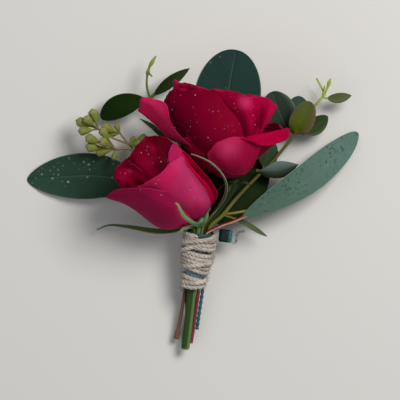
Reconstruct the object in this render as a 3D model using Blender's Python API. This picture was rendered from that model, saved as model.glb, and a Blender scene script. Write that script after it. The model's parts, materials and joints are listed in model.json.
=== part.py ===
"""Buttonhole bouquet of two red roses and eucalyptus, bound with jute twine and lying on its back.

The part stands in its own frame: X to the right and Y up as the bouquet is looked at from above,
+Z up out of the surface that it lies on. The origin is under the middle of its bounding box.
Sizes and places are in millimetres and are turned into metres as each mesh is made.
"""

import math
from dataclasses import dataclass

import bmesh
import bpy
from mathutils import Matrix, Vector

MM = 0.001
UP = Vector((0.0, 0.0, 1.0))

# The bundle, a cone of stems that runs from the binding's upper edge down to the cut ends.
BUNDLE_TOP = Vector((4.9, -16.0, 17.0))
BUNDLE_FOOT = Vector((1.0, -43.5, 11.0))
STEM_END = Vector((-2.3, -74.6, 4.3))
TWINE_WALLS = ((0.0, 1.7), (0.7, 1.6), (1.0, 1.15))
TWINE_GROOVE = 0.45
TAPE_WALL = 0.6
TAPE_INSET = 1.95
WRAP_HALF_WIDTHS = ((0.0, 8.5), (0.4, 8.7), (0.75, 7.3), (1.0, 6.15))
WRAP_HALF_DEPTHS = ((0.0, 8.1), (0.4, 8.0), (0.75, 6.9), (1.0, 6.25))
TWINE_PITCH = 2.3

# Each stem's place across the bundle, to the right and to the front, at the binding's upper edge.
SLOT_FRONT_ROSE = (-0.9, 2.2)
SLOT_BACK_ROSE = (2.5, -1.3)
SLOT_SPRIG_RIGHT = (4.3, 1.4)
SLOT_LEAF_RIGHT = (2.4, 3.75)
SLOT_CURL = (0.9, 4.4)
SLOT_LEAF_TOP = (-0.6, -4.0)
SLOT_LEAF_DARK = (2.3, -4.05)
SLOT_LEAF_LEFT = (-4.5, -1.05)
SLOT_SPRIG_LEFT = (-2.8, -2.95)
SLOT_SPRAY = (-4.3, 1.3)
SLOT_SLIM = (-3.35, 3.35)

# Wall thickness of petals and leaves in these solids.
PETAL_WALL = 0.75
LEAF_WALL = 0.7

# Points of a joined body closer than this are merged, at the first reach that leaves it closed.
WELDS = (0.02, 0.01, 0.006, 0.003, 0.001)

COLOURS = {
    "petal": ((0.30, 0.006, 0.035), 0.5),
    "rose_green": ((0.10, 0.22, 0.05), 0.5),
    "leaf_grey": ((0.13, 0.22, 0.17), 0.55),
    "leaf_pale": ((0.24, 0.36, 0.30), 0.6),
    "leaf_green": ((0.06, 0.12, 0.03), 0.5),
    "bud": ((0.28, 0.33, 0.12), 0.6),
    "twine": ((0.42, 0.34, 0.26), 0.9),
    "tape": ((0.02, 0.14, 0.14), 0.6),
    "steel": ((0.6, 0.6, 0.6), 0.25),
}


def clear_scene():
    """Removes every object, so that the scene holds only the part."""
    for obj in list(bpy.data.objects):
        bpy.data.objects.remove(obj, do_unlink=True)


def material(slot):
    """The Principled material of a colour slot, made once."""
    made = bpy.data.materials.get(slot)
    if made:
        return made
    made = bpy.data.materials.new(slot)
    made.use_nodes = True
    colour, roughness = COLOURS[slot]
    shader = made.node_tree.nodes["Principled BSDF"]
    shader.inputs["Base Color"].default_value = (*colour, 1.0)
    shader.inputs["Roughness"].default_value = roughness
    shader.inputs["Metallic"].default_value = 1.0 if slot == "steel" else 0.0
    return made


# Numbers and curves.


def mix(a, b, t):
    return a + (b - a) * t


def smoothstep(t):
    t = min(1.0, max(0.0, t))
    return t * t * (3.0 - 2.0 * t)


def along_table(table, t):
    """The value at t of a table of (place, value) steps, eased between its steps."""
    for (t0, v0), (t1, v1) in zip(table, table[1:]):
        if t <= t1:
            return mix(v0, v1, smoothstep((t - t0) / (t1 - t0)))
    return table[-1][1]


def catmull(p0, p1, p2, p3, t):
    """A point of the Catmull-Rom span from p1 to p2."""
    return 0.5 * (
        2.0 * p1
        + (p2 - p0) * t
        + (2.0 * p0 - 5.0 * p1 + 4.0 * p2 - p3) * t * t
        + (3.0 * p1 - p0 - 3.0 * p2 + p3) * t * t * t
    )


def smooth_path(points, fine=14):
    """A dense smooth polyline through the points."""
    points = [Vector(p) for p in points]
    ends = [2 * points[0] - points[1], *points, 2 * points[-1] - points[-2]]
    dense = []
    for i in range(len(points) - 1):
        dense += [catmull(*ends[i : i + 4], k / fine) for k in range(fine)]
    return [*dense, points[-1]]


class Path:
    """A smooth curve through points, read by its share of length from 0 to 1."""

    def __init__(self, points):
        self.dense = smooth_path(points)
        self.lengths = [0.0]
        for a, b in zip(self.dense, self.dense[1:]):
            self.lengths.append(self.lengths[-1] + (b - a).length)
        self.length = self.lengths[-1]

    def at(self, share):
        wanted = min(1.0, max(0.0, share)) * self.length
        for i in range(len(self.dense) - 1):
            if self.lengths[i + 1] >= wanted:
                step = max(1e-9, self.lengths[i + 1] - self.lengths[i])
                return self.dense[i].lerp(self.dense[i + 1], (wanted - self.lengths[i]) / step)
        return self.dense[-1].copy()

    def tangent(self, share):
        ahead = self.at(min(1.0, share + 0.01))
        behind = self.at(max(0.0, share - 0.01))
        return (ahead - behind).normalized()


# Meshes from rings and grids.


def make_object(name, points, faces, slot):
    """A mesh object from points in millimetres."""
    mesh = bpy.data.meshes.new(name)
    mesh.from_pydata([Vector(p) * MM for p in points], [], faces)
    mesh.materials.append(material(slot))
    mesh.validate()
    obj = bpy.data.objects.new(name, mesh)
    bpy.context.scene.collection.objects.link(obj)
    if volume_of(mesh) < 0:
        mesh.flip_normals()
    mesh.shade_smooth()
    mesh.set_sharp_from_angle(angle=math.radians(45))
    return obj


def volume_of(mesh):
    """The signed volume that a closed mesh holds."""
    mesh.calc_loop_triangles()
    total = 0.0
    for tri in mesh.loop_triangles:
        a, b, c = (mesh.vertices[i].co for i in tri.vertices)
        total += a.dot(b.cross(c)) / 6.0
    return total


def loft(rings):
    """A closed skin over rings of equal count.

    The two faces of a flat ring are cut into triangles alike, so that a thin blade never crosses itself.
    """
    count = len(rings[0])
    points = [p for ring in rings for p in ring]
    faces = []
    for i in range(len(rings) - 1):
        for k in range(count):
            a = i * count + k
            b = i * count + (k + 1) % count
            c = b + count
            d = a + count
            if k < count // 2:
                faces += [(a, b, c), (a, c, d)]
            else:
                faces += [(a, b, d), (b, c, d)]
    faces.append(tuple(range(count - 1, -1, -1)))
    faces.append(tuple(range(len(points) - count, len(points))))
    return points, faces


def tube_rings(path, radii, sides, rows):
    """Rings round a path, with a radius table along it."""
    rings = []
    side = path.tangent(0).cross(UP)
    if side.length < 0.1:
        side = Vector((1.0, 0.0, 0.0))
    for i in range(rows + 1):
        share = i / rows
        along = path.tangent(share)
        side = (side - along * side.dot(along)).normalized()
        other = along.cross(side)
        centre = path.at(share)
        radius = along_table(radii, share)
        ring = []
        for k in range(sides):
            turn = 2 * math.pi * k / sides
            ring.append(centre + (side * math.cos(turn) + other * math.sin(turn)) * radius)
        rings.append(ring)
    return rings


def tube(name, points, radii, slot, sides=8, rows=8):
    """A stem: a tube along a smooth path, with a radius table along its length."""
    if not isinstance(radii, (list, tuple)):
        radii = ((0.0, radii), (1.0, radii))
    return make_object(name, *loft(tube_rings(Path(points), radii, sides, rows)), slot)


@dataclass
class Leaf:
    """A leaf on its stalk. The path runs from the stalk's root to the leaf's tip.

    blade is the share of the path where the blade starts, width its full width, face the direction
    that its upper side looks in at the blade's start and at its tip, cup how far its edges rise as a
    share of the half width, skew below 1 for a blade that is widest near its base, full below 1 for
    a blunt one, and wave the height of the undulation of its edges.
    """

    path: tuple
    blade: float
    width: float
    face: tuple = (0.0, 0.0, 1.0)
    face_tip: tuple = None
    stalk: float = 0.8
    cup: float = 0.15
    skew: float = 0.9
    full: float = 0.7
    wave: float = 0.0
    wall: float = LEAF_WALL

    def half_width(self, v):
        swell = math.sin(math.pi * min(1.0, max(0.0, v)) ** self.skew)
        return max(0.45, 0.5 * self.width * max(0.0, swell) ** self.full)

    def rings(self, stalk_rows=5, blade_rows=9, around=8):
        path = Path(self.path)
        face, face_tip = Vector(self.face), Vector(self.face_tip or self.face)
        shares = [self.blade * i / stalk_rows for i in range(stalk_rows)]
        blade_shares = [0.5 - 0.5 * math.cos(math.pi * i / blade_rows) for i in range(blade_rows + 1)]
        shares += [mix(self.blade, 1.0, v) for v in blade_shares]
        return [self.ring(path, share, face, face_tip, around) for share in shares]

    def ring(self, path, share, face, face_tip, around):
        v = (share - self.blade) / (1.0 - self.blade)
        flat = smoothstep(v / 0.14)
        half = mix(self.stalk, max(self.stalk, self.half_width(v)), smoothstep(v / 0.02))
        if v > 0.5:
            half = self.half_width(v)
        thick = mix(self.stalk, self.wall / 2, flat)
        along = path.tangent(share)
        up = face.lerp(face_tip, max(0.0, v))
        up = (up - along * up.dot(along)).normalized()
        side = along.cross(up)
        centre = path.at(share)
        power = mix(1.0, 0.35, flat)
        ring = []
        for k in range(around):
            turn = 2 * math.pi * k / around
            across = math.cos(turn)
            lift = math.sin(turn)
            lift = math.copysign(abs(lift) ** power, lift) if abs(lift) > 1e-9 else 0.0
            bend = flat * half * self.cup * across * across
            bend += flat * self.wave * across * across * math.sin(5.0 * math.pi * v + 2.0 * across)
            ring.append(centre + side * (half * across) + up * (thick * lift + bend))
        return ring

    def build(self, name, slot, **rows):
        return make_object(name, *loft(self.rings(**rows)), slot)


def grid_shell(grid, wall):
    """A sheet of one wall thickness from a grid of middle points, cut alike on both faces."""
    rows, cols = len(grid), len(grid[0])
    normals = []
    for i in range(rows):
        for j in range(cols):
            down = grid[min(i + 1, rows - 1)][j] - grid[max(i - 1, 0)][j]
            across = grid[i][min(j + 1, cols - 1)] - grid[i][max(j - 1, 0)]
            normals.append(down.cross(across).normalized())
    flat = [p for row in grid for p in row]
    points = [p + n * (wall / 2) for p, n in zip(flat, normals)]
    points += [p - n * (wall / 2) for p, n in zip(flat, normals)]
    back = rows * cols
    faces = []
    for i in range(rows - 1):
        for j in range(cols - 1):
            a = i * cols + j
            b, c, d = a + 1, a + cols + 1, a + cols
            faces += [(a, c, b), (a, d, c)]
            faces += [(a + back, b + back, c + back), (a + back, c + back, d + back)]
    rim = [(0, j) for j in range(cols)] + [(i, cols - 1) for i in range(1, rows)]
    rim += [(rows - 1, j) for j in range(cols - 2, -1, -1)] + [(i, 0) for i in range(rows - 2, 0, -1)]
    rim = [i * cols + j for i, j in rim]
    for a, b in zip(rim, rim[1:] + rim[:1]):
        faces += [(a, b, b + back), (a, b + back, a + back)]
    return points, faces


def largest_shell(mesh):
    """Keeps the one shell that holds the most, so that sealed hollows are filled and scraps dropped."""
    parent = list(range(len(mesh.vertices)))

    def root(i):
        while parent[i] != i:
            parent[i] = parent[parent[i]]
            i = parent[i]
        return i

    for edge in mesh.edges:
        a, b = (root(i) for i in edge.vertices)
        parent[a] = b
    shells = {}
    for polygon in mesh.polygons:
        shells.setdefault(root(polygon.vertices[0]), []).append(tuple(polygon.vertices))
    if len(shells) == 1:
        return mesh
    made = []
    for faces in shells.values():
        used = sorted({i for face in faces for i in face})
        place = {i: n for n, i in enumerate(used)}
        piece = bpy.data.meshes.new(mesh.name)
        points = [mesh.vertices[i].co.copy() for i in used]
        piece.from_pydata(points, [], [tuple(place[i] for i in face) for face in faces])
        made.append(piece)
    made.sort(key=volume_of)
    for slot in mesh.materials:
        made[-1].materials.append(slot)
    for piece in made[:-1]:
        bpy.data.meshes.remove(piece)
    return made[-1]


def weld(mesh):
    """Merges the points that a union leaves almost on each other, as far as the mesh stays closed."""
    for reach in WELDS:
        made = bmesh.new()
        made.from_mesh(mesh)
        bmesh.ops.remove_doubles(made, verts=made.verts, dist=reach * MM)
        bmesh.ops.dissolve_degenerate(made, edges=made.edges, dist=reach * MM)
        bmesh.ops.triangulate(made, faces=made.faces)
        bmesh.ops.dissolve_degenerate(made, edges=made.edges, dist=reach * MM)
        closed = all(edge.is_manifold for edge in made.edges)
        if closed:
            made.to_mesh(mesh)
        made.free()
        if closed:
            break


def fuse(name, objects):
    """One body from overlapping closed objects, by a Boolean union that is applied."""
    base, others = objects[0], objects[1:]
    group = bpy.data.collections.new(name + "_repeats")
    bpy.context.scene.collection.children.link(group)
    for obj in others:
        bpy.context.scene.collection.objects.unlink(obj)
        group.objects.link(obj)
    union = base.modifiers.new("union", "BOOLEAN")
    union.operation = "UNION"
    union.operand_type = "COLLECTION"
    union.collection = group
    union.solver = "MANIFOLD"
    bpy.context.view_layer.update()
    graph = bpy.context.evaluated_depsgraph_get()
    joined = bpy.data.meshes.new_from_object(base.evaluated_get(graph))
    base.modifiers.clear()
    for obj in others:
        bpy.data.objects.remove(obj, do_unlink=True)
    bpy.data.collections.remove(group)
    base.data = largest_shell(joined)
    weld(base.data)
    base.data.shade_smooth()
    base.data.set_sharp_from_angle(angle=math.radians(45))
    base.name = base.data.name = name
    return base


def cut_below(obj, level=0.0):
    """Cuts off flat what reaches below a level, where the piece rests on the surface."""
    size = 400 * MM
    points = [(x, y, z) for z in (-size, level * MM) for y in (-size, size) for x in (-size, size)]
    faces = [(0, 2, 3, 1), (4, 5, 7, 6), (0, 1, 5, 4), (2, 6, 7, 3), (0, 4, 6, 2), (1, 3, 7, 5)]
    mesh = bpy.data.meshes.new("floor_cut")
    mesh.from_pydata(points, [], faces)
    cutter = bpy.data.objects.new("floor_cut", mesh)
    bpy.context.scene.collection.objects.link(cutter)
    cut = obj.modifiers.new("rest", "BOOLEAN")
    cut.operation = "DIFFERENCE"
    cut.object = cutter
    cut.solver = "MANIFOLD"
    bpy.context.view_layer.update()
    graph = bpy.context.evaluated_depsgraph_get()
    obj.data = largest_shell(bpy.data.meshes.new_from_object(obj.evaluated_get(graph)))
    obj.modifiers.clear()
    bpy.data.objects.remove(cutter, do_unlink=True)


# The bundle's frame: every stem has a place across it, and keeps it through the binding.

BUNDLE_ALONG = (BUNDLE_FOOT - BUNDLE_TOP).normalized()
BUNDLE_ACROSS = Vector((-BUNDLE_ALONG.y, BUNDLE_ALONG.x, 0.0)).normalized()
BUNDLE_FRONT = BUNDLE_ALONG.cross(BUNDLE_ACROSS)


def bundle_point(share, across, front):
    """A point of the bundle: share 0 is the binding's upper edge, 1 its lower edge, 2 the cut ends."""
    if share <= 1.0:
        centre = BUNDLE_TOP + (BUNDLE_FOOT - BUNDLE_TOP) * share
    else:
        centre = BUNDLE_FOOT.lerp(STEM_END, share - 1.0)
    return centre + BUNDLE_ACROSS * across + BUNDLE_FRONT * front


def held(slot, top=-0.13):
    """Three points of a stem's run inside the binding, up to just above it."""
    return [bundle_point(share, *slot) for share in (0.3, 0.1, top)]


# The roses.


@dataclass
class Petal:
    """One petal in its rose's frame.

    turn is its place round the axis, 0 towards the viewer and 90 to the right.

    lean is a table of how far the petal leans outwards from the axis along its length, in degrees,
    drop how far its shoulders fall below its tip, wrap its curvature as a multiple of the distance
    from the axis, roll how far its side edges turn outwards, point the extra length of its tip, tip
    where across the petal that tip is, and skew a sideways lean of its upper part.
    """

    turn: float
    width: float
    length: float
    lean: tuple
    root: float = 3.0
    base: float = 0.8
    drop: float = 0.28
    wrap: float = 1.1
    roll: float = 0.0
    point: float = 0.0
    tip: float = 0.0
    skew: float = 0.0
    wave: float = 0.4

    def grid(self, rows=7, cols=7):
        """Middle points of the petal, with X to the viewer, Y to the right and Z up the axis."""
        steps = 24
        line = [(self.root, self.base)]
        for k in range(steps):
            angle = math.radians(along_table(self.lean, (k + 0.5) / steps))
            out, high = line[-1]
            step = self.length / steps
            line.append((out + step * math.sin(angle), high + step * math.cos(angle)))
        found = []
        for i in range(rows + 1):
            share = i / rows
            row = []
            for j in range(cols + 1):
                row.append(self.point_at(line, share, 2.0 * j / cols - 1.0))
            found.append(row)
        turn = Matrix.Rotation(math.radians(self.turn), 3, "Z")
        return [[turn @ p for p in row] for row in found]

    def point_at(self, line, share, across):
        reach = share * (1.0 - self.drop * abs(across) ** 2.4 * share)
        peak = math.exp(-(((across - self.tip) / 0.3) ** 2))
        reach += self.point / self.length * peak * share**3
        place = min(reach, 1.0) * (len(line) - 1)
        low = min(int(place), len(line) - 2)
        part = place - low
        out = mix(line[low][0], line[low + 1][0], part)
        high = mix(line[low][1], line[low + 1][1], part)
        if reach > 1.0:
            beyond = (reach - 1.0) * self.length
            angle = math.radians(self.lean[-1][1])
            out += beyond * math.sin(angle)
            high += beyond * math.cos(angle)
        half = 0.5 * self.width * mix(0.22, 1.0, math.sin(0.5 * math.pi * min(1.0, share / 0.72)) ** 0.9)
        radius = max(4.0, out * self.wrap)
        bend = across * half / radius
        inward = radius * (1.0 - math.cos(bend))
        sideways = radius * math.sin(bend) + self.skew * share * share
        flare = self.roll * abs(across) ** 2.5 * share * share
        ripple = self.wave * share**2 * math.sin(4.0 * across + 0.7 * self.turn)
        return Vector((out - inward + flare + ripple, sideways, high))


@dataclass
class Sheet:
    """A petal drawn by guide lines, side by side, each from its root to its rim, in the part's frame."""

    lines: tuple

    def grid(self, rows=5, cols=5):
        """Middle points of the petal: smooth along the guide lines and across them."""
        guides = [Path(line) for line in self.lines]
        found = []
        for i in range(rows + 1):
            across = smooth_path([guide.at(i / rows) for guide in guides], fine=cols * 4)
            last = len(across) - 1
            found.append([across[last * j // cols] for j in range(cols + 1)])
        return found


@dataclass
class Rose:
    """A rose head on its stem, with hip and sepals."""

    name: str
    base: tuple
    heading: float
    tilt: float
    sheets: list
    petals: list
    sepals: list
    stem: tuple
    stem_radii: tuple
    core_radius: float = 8.0
    core_height: float = 27.0
    hip: float = 4.3
    free_sepals: tuple = ()

    def frame(self):
        """The matrix from the rose's own frame.

        heading turns its axis from +Y, and tilt lifts it to the viewer.
        """
        heading, tilt = math.radians(self.heading), math.radians(self.tilt)
        flat = Vector((-math.sin(heading), math.cos(heading), 0.0))
        axis = flat * math.cos(tilt) + UP * math.sin(tilt)
        right = Vector((math.cos(heading), math.sin(heading), 0.0))
        viewer = right.cross(axis)
        turn = Matrix((viewer, right, axis)).transposed().to_4x4()
        return Matrix.Translation(Vector(self.base)) @ turn

    def bloom(self):
        """The petals, sunk into a smaller core."""
        frame = self.frame()
        radius, height = self.core_radius, self.core_height
        profile = ((0.0, 3.6), (0.12, 5.4), (0.45, radius), (0.85, 0.8 * radius), (1.0, 0.35 * radius))
        core_path = Path(((0, 0, 0.3), (0, 0, height / 2), (0, 0, height)))
        points, faces = loft(tube_rings(core_path, profile, 8, 4))
        parts = [make_object(self.name, [frame @ p for p in points], faces, "petal")]
        grids = [[[frame @ p for p in row] for row in petal.grid(4, 4)] for petal in self.petals]
        grids += [sheet.grid() for sheet in self.sheets]
        for grid in grids:
            parts.append(make_object(self.name, *grid_shell(grid, PETAL_WALL), "petal"))
        return fuse(self.name + "_bloom", parts)

    def greens(self):
        """Stem, hip and sepals as one green body, just below the petals."""
        frame = self.frame()
        hip = ((0.0, 1.6), (0.4, 2.5), (0.8, 3.1), (1.0, 2.7))
        hip_path = Path(((0, 0, -self.hip), (0, 0, -self.hip / 2), (0, 0, -0.9)))
        points, faces = loft(tube_rings(hip_path, hip, 9, 3))
        parts = [make_object(self.name, [frame @ p for p in points], faces, "rose_green")]
        joint = [frame @ Vector((0, 0, 0.8 - self.hip)), frame @ Vector((0, 0, -1.7))]
        parts.append(tube(self.name, [*self.stem, *joint], self.stem_radii, "rose_green", rows=12))
        for sepal in self.sepals:
            parts.append(self.sepal(frame, *sepal))
        for sepal in self.free_sepals:
            parts.append(sepal.build(self.name, "rose_green", stalk_rows=1, blade_rows=7, around=6))
        return fuse(self.name + "_stem", parts)

    def sepal(self, frame, turn, width, steps):
        """A sepal from (outwards, up the axis) steps in the plane at turn."""
        way = Matrix.Rotation(math.radians(turn), 3, "Z") @ Vector((1.0, 0.0, 0.0))
        line = [Vector((0, 0, -2.2)) + way * 1.5]
        line += [way * out + Vector((0, 0, high)) for out, high in steps]
        points = [frame @ p for p in line]
        outward = frame.to_3x3() @ (way + Vector((0, 0, -0.6)))
        leaf = Leaf(tuple(points), 0.1, width, tuple(outward), stalk=1.0, cup=-0.25, skew=0.62)
        leaf.full = 0.75
        leaf.wall = 0.8
        return leaf.build(self.name, "rose_green", stalk_rows=1, blade_rows=4, around=6)


FRONT_SHEETS = [
    # The broad front petal, highest along its middle and pointed at its upper right.
    Sheet((
        (
            (0.0, -10.0, 29.0), (-10.0, -5.5, 41.5), (-18.0, -1.0, 49.0), (-23.0, 3.5, 53.0),
            (-27.0, 6.5, 54.0),
        ),
        (
            (1.5, -9.8, 30.0), (-6.0, -3.0, 43.5), (-11.5, 3.5, 50.5), (-15.0, 9.5, 54.0),
            (-17.0, 12.2, 55.0),
        ),
        (
            (3.0, -9.5, 30.0), (0.0, -2.0, 42.5), (-4.0, 6.0, 49.0), (-7.5, 13.0, 51.5),
            (-10.5, 18.0, 51.0),
        ),
        (
            (4.5, -9.0, 29.5), (6.0, -2.0, 38.0), (2.5, 7.0, 43.5), (-2.0, 14.5, 46.5),
            (-5.6, 21.7, 46.5),
        ),
        (
            (6.0, -8.3, 28.0), (10.6, -2.0, 31.0), (9.0, 4.5, 35.0), (3.8, 10.5, 40.0),
            (-2.5, 17.5, 44.5),
        ),
    )),
    # The outermost petal, a boat that ends in the tip at the lower left.
    Sheet((
        (
            (1.5, -9.0, 31.0), (-2.7, 0.7, 44.5), (-8.2, 3.3, 49.0), (-19.8, 5.8, 54.2),
            (-27.0, 5.9, 54.5), (-37.0, 5.0, 47.0), (-42.5, 1.6, 39.0),
        ),
        (
            (1.0, -10.0, 30.0), (-6.0, -7.0, 39.5), (-14.0, -3.0, 46.5), (-24.0, 1.0, 49.0),
            (-34.0, 3.5, 46.0), (-42.2, 2.0, 39.5),
        ),
        (
            (0.5, -11.0, 27.0), (-8.0, -12.0, 32.5), (-18.0, -9.0, 37.0), (-27.0, -4.5, 39.0),
            (-35.0, -0.5, 39.0), (-42.5, 1.6, 38.5),
        ),
        (
            (0.0, -11.5, 23.5), (-9.0, -14.6, 23.0), (-16.5, -13.6, 25.5), (-24.5, -7.8, 29.0),
            (-32.0, -2.0, 33.0), (-42.0, 1.4, 38.0),
        ),
        (
            (0.0, -11.0, 20.0), (-8.0, -12.5, 13.0), (-18.0, -9.0, 13.0), (-27.0, -3.0, 18.0),
            (-35.0, 1.5, 26.0), (-41.5, 2.0, 36.5),
        ),
    )),
    # The three petals of the cup that show beyond the front petal, left to right.
    Sheet((
        ((-6.0, -8.0, 32.0), (-18.0, -2.5, 38.0), (-29.0, 3.5, 41.0), (-36.0, 7.2, 42.0)),
        ((-6.0, -6.0, 36.0), (-18.0, 1.0, 43.0), (-29.5, 7.0, 46.0), (-37.8, 10.5, 45.0)),
        ((-7.0, -4.0, 38.0), (-18.0, 5.0, 47.0), (-29.0, 12.5, 49.0), (-37.2, 16.4, 47.0)),
        ((-8.0, -2.0, 39.0), (-17.0, 8.0, 49.0), (-26.0, 16.0, 51.5), (-31.6, 20.8, 51.0)),
    )),
    Sheet((
        ((-8.0, -4.0, 36.0), (-18.0, 5.0, 44.5), (-27.0, 13.0, 47.5), (-32.0, 20.0, 47.0)),
        ((-7.0, -2.0, 38.0), (-15.0, 8.0, 48.0), (-23.0, 17.0, 50.5), (-29.5, 24.0, 49.5)),
        ((-6.0, 0.0, 38.0), (-11.0, 10.0, 48.0), (-17.0, 20.0, 50.0), (-22.5, 31.0, 47.0)),
        ((-4.0, 1.0, 36.0), (-6.0, 10.0, 45.0), (-11.0, 19.0, 47.0), (-17.5, 30.5, 45.0)),
    )),
    Sheet((
        ((-5.0, 0.0, 35.5), (-10.0, 10.0, 45.0), (-15.0, 20.0, 46.5), (-21.0, 31.0, 43.0)),
        ((-4.0, 1.0, 34.5), (-6.0, 10.0, 43.0), (-10.0, 21.0, 44.5), (-16.5, 32.3, 41.5)),
        ((-2.0, 2.0, 32.0), (-2.0, 12.0, 39.0), (-5.0, 21.0, 40.0), (-12.5, 30.5, 38.5)),
        ((0.0, 2.0, 28.0), (0.0, 12.0, 33.0), (-3.0, 19.5, 35.0), (-9.0, 27.0, 36.0)),
    )),
    # The lit petal between the cup and the front petal's point.
    Sheet((
        ((-3.0, -2.0, 35.0), (-8.0, 8.0, 44.0), (-11.8, 16.0, 47.5), (-11.5, 22.0, 46.8)),
        ((-2.0, -1.0, 35.0), (-5.5, 9.0, 43.5), (-8.5, 18.0, 46.0), (-8.7, 28.0, 43.0)),
        ((0.0, 0.0, 33.0), (-1.0, 9.0, 41.0), (-4.0, 17.0, 43.0), (-4.5, 24.5, 42.0)),
    )),
    # The two petals whose rims run down the right side.
    Sheet((
        ((5.0, -7.0, 27.5), (8.5, 0.0, 33.0), (5.0, 7.5, 37.5), (-0.5, 14.0, 41.5), (-5.5, 21.5, 42.5)),
        (
            (6.0, -7.5, 26.5), (11.4, -0.5, 30.5), (9.8, 6.0, 35.3), (3.0, 13.6, 40.0),
            (-4.6, 23.0, 42.5),
        ),
        ((6.0, -7.0, 22.0), (9.6, 0.0, 25.5), (7.5, 6.5, 30.0), (1.5, 13.8, 35.0), (-5.2, 22.5, 39.5)),
    )),
    Sheet((
        ((5.0, -6.0, 25.5), (9.5, 2.0, 29.5), (7.0, 9.5, 33.5), (2.0, 15.6, 37.0), (-5.0, 23.5, 40.0)),
        (
            (6.5, -7.0, 24.5), (12.6, 1.2, 28.5), (11.3, 7.0, 32.5), (4.4, 15.8, 37.5),
            (-4.5, 24.5, 40.5),
        ),
        ((5.0, -6.0, 19.0), (8.5, 1.0, 21.0), (6.0, 7.5, 25.0), (-0.5, 14.5, 31.0), (-6.5, 23.0, 37.0)),
    )),
]

FRONT_ROSE = Rose(
    name="rose_front",
    base=(3.0, -10.2, 23.5),
    heading=46.0,
    tilt=20.0,
    core_radius=11.5,
    core_height=34.0,
    hip=3.4,
    sheets=FRONT_SHEETS,
    petals=[
        Petal(172, 38, 45, ((0.0, 70), (0.3, 20), (0.8, 4), (1.0, 10)), drop=0.2, point=2.0),
        Petal(-132, 38, 45, ((0.0, 70), (0.3, 20), (0.8, 5), (1.0, 12)), drop=0.25, point=2.0),
        Petal(75, 26, 44, ((0.0, 46), (0.35, 14), (0.75, -6), (1.0, 2)), wrap=1.0, drop=0.2),
        Petal(-100, 27, 45, ((0.0, 50), (0.35, 14), (0.75, -2), (1.0, 4)), wrap=1.0, drop=0.2),
    ],
    sepals=[
        (122.0, 4.0, ((6.0, -2.2), (9.0, -2.6), (11.5, -2.0))),
        (172.0, 4.0, ((5.5, -2.0), (7.5, -2.0), (9.0, -1.4))),
    ],
    free_sepals=(
        # The long sepal that curls up over the petals, and the two short ones beside it.
        Leaf(
            path=(
                (3.8, -12.0, 22.8), (3.4, -13.4, 28.0), (1.6, -12.0, 34.5), (-3.0, -7.2, 43.5),
                (-6.6, -2.8, 49.2), (-8.4, -1.2, 50.6),
            ),
            blade=0.08,
            width=3.6,
            face=(0.3, -0.5, 0.8),
            stalk=1.1,
            cup=-0.2,
            skew=0.66,
            full=0.8,
            wall=0.9,
        ),
        Leaf(
            path=((2.6, -12.6, 22.6), (-0.8, -14.6, 25.2), (-3.6, -15.8, 26.0), (-6.8, -17.0, 25.8)),
            blade=0.1,
            width=2.8,
            face=(-0.2, -0.5, 0.8),
            stalk=0.9,
            wall=0.8,
        ),
        Leaf(
            path=((4.0, -12.4, 22.8), (6.2, -11.4, 28.5), (7.8, -8.8, 33.0), (8.4, -6.4, 36.0)),
            blade=0.1,
            width=3.0,
            face=(0.5, -0.5, 0.7),
            stalk=0.9,
            wall=0.8,
        ),
    ),
    stem=(
        bundle_point(2.0, -0.9, 1.9),
        bundle_point(1.5, -0.9, 1.9),
        bundle_point(1.0, -0.9, 1.9),
        bundle_point(0.5, -1.0, 2.2),
        *held(SLOT_FRONT_ROSE)[1:],
    ),
    stem_radii=((0.0, 1.85), (0.5, 1.75), (1.0, 1.7)),
)

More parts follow.
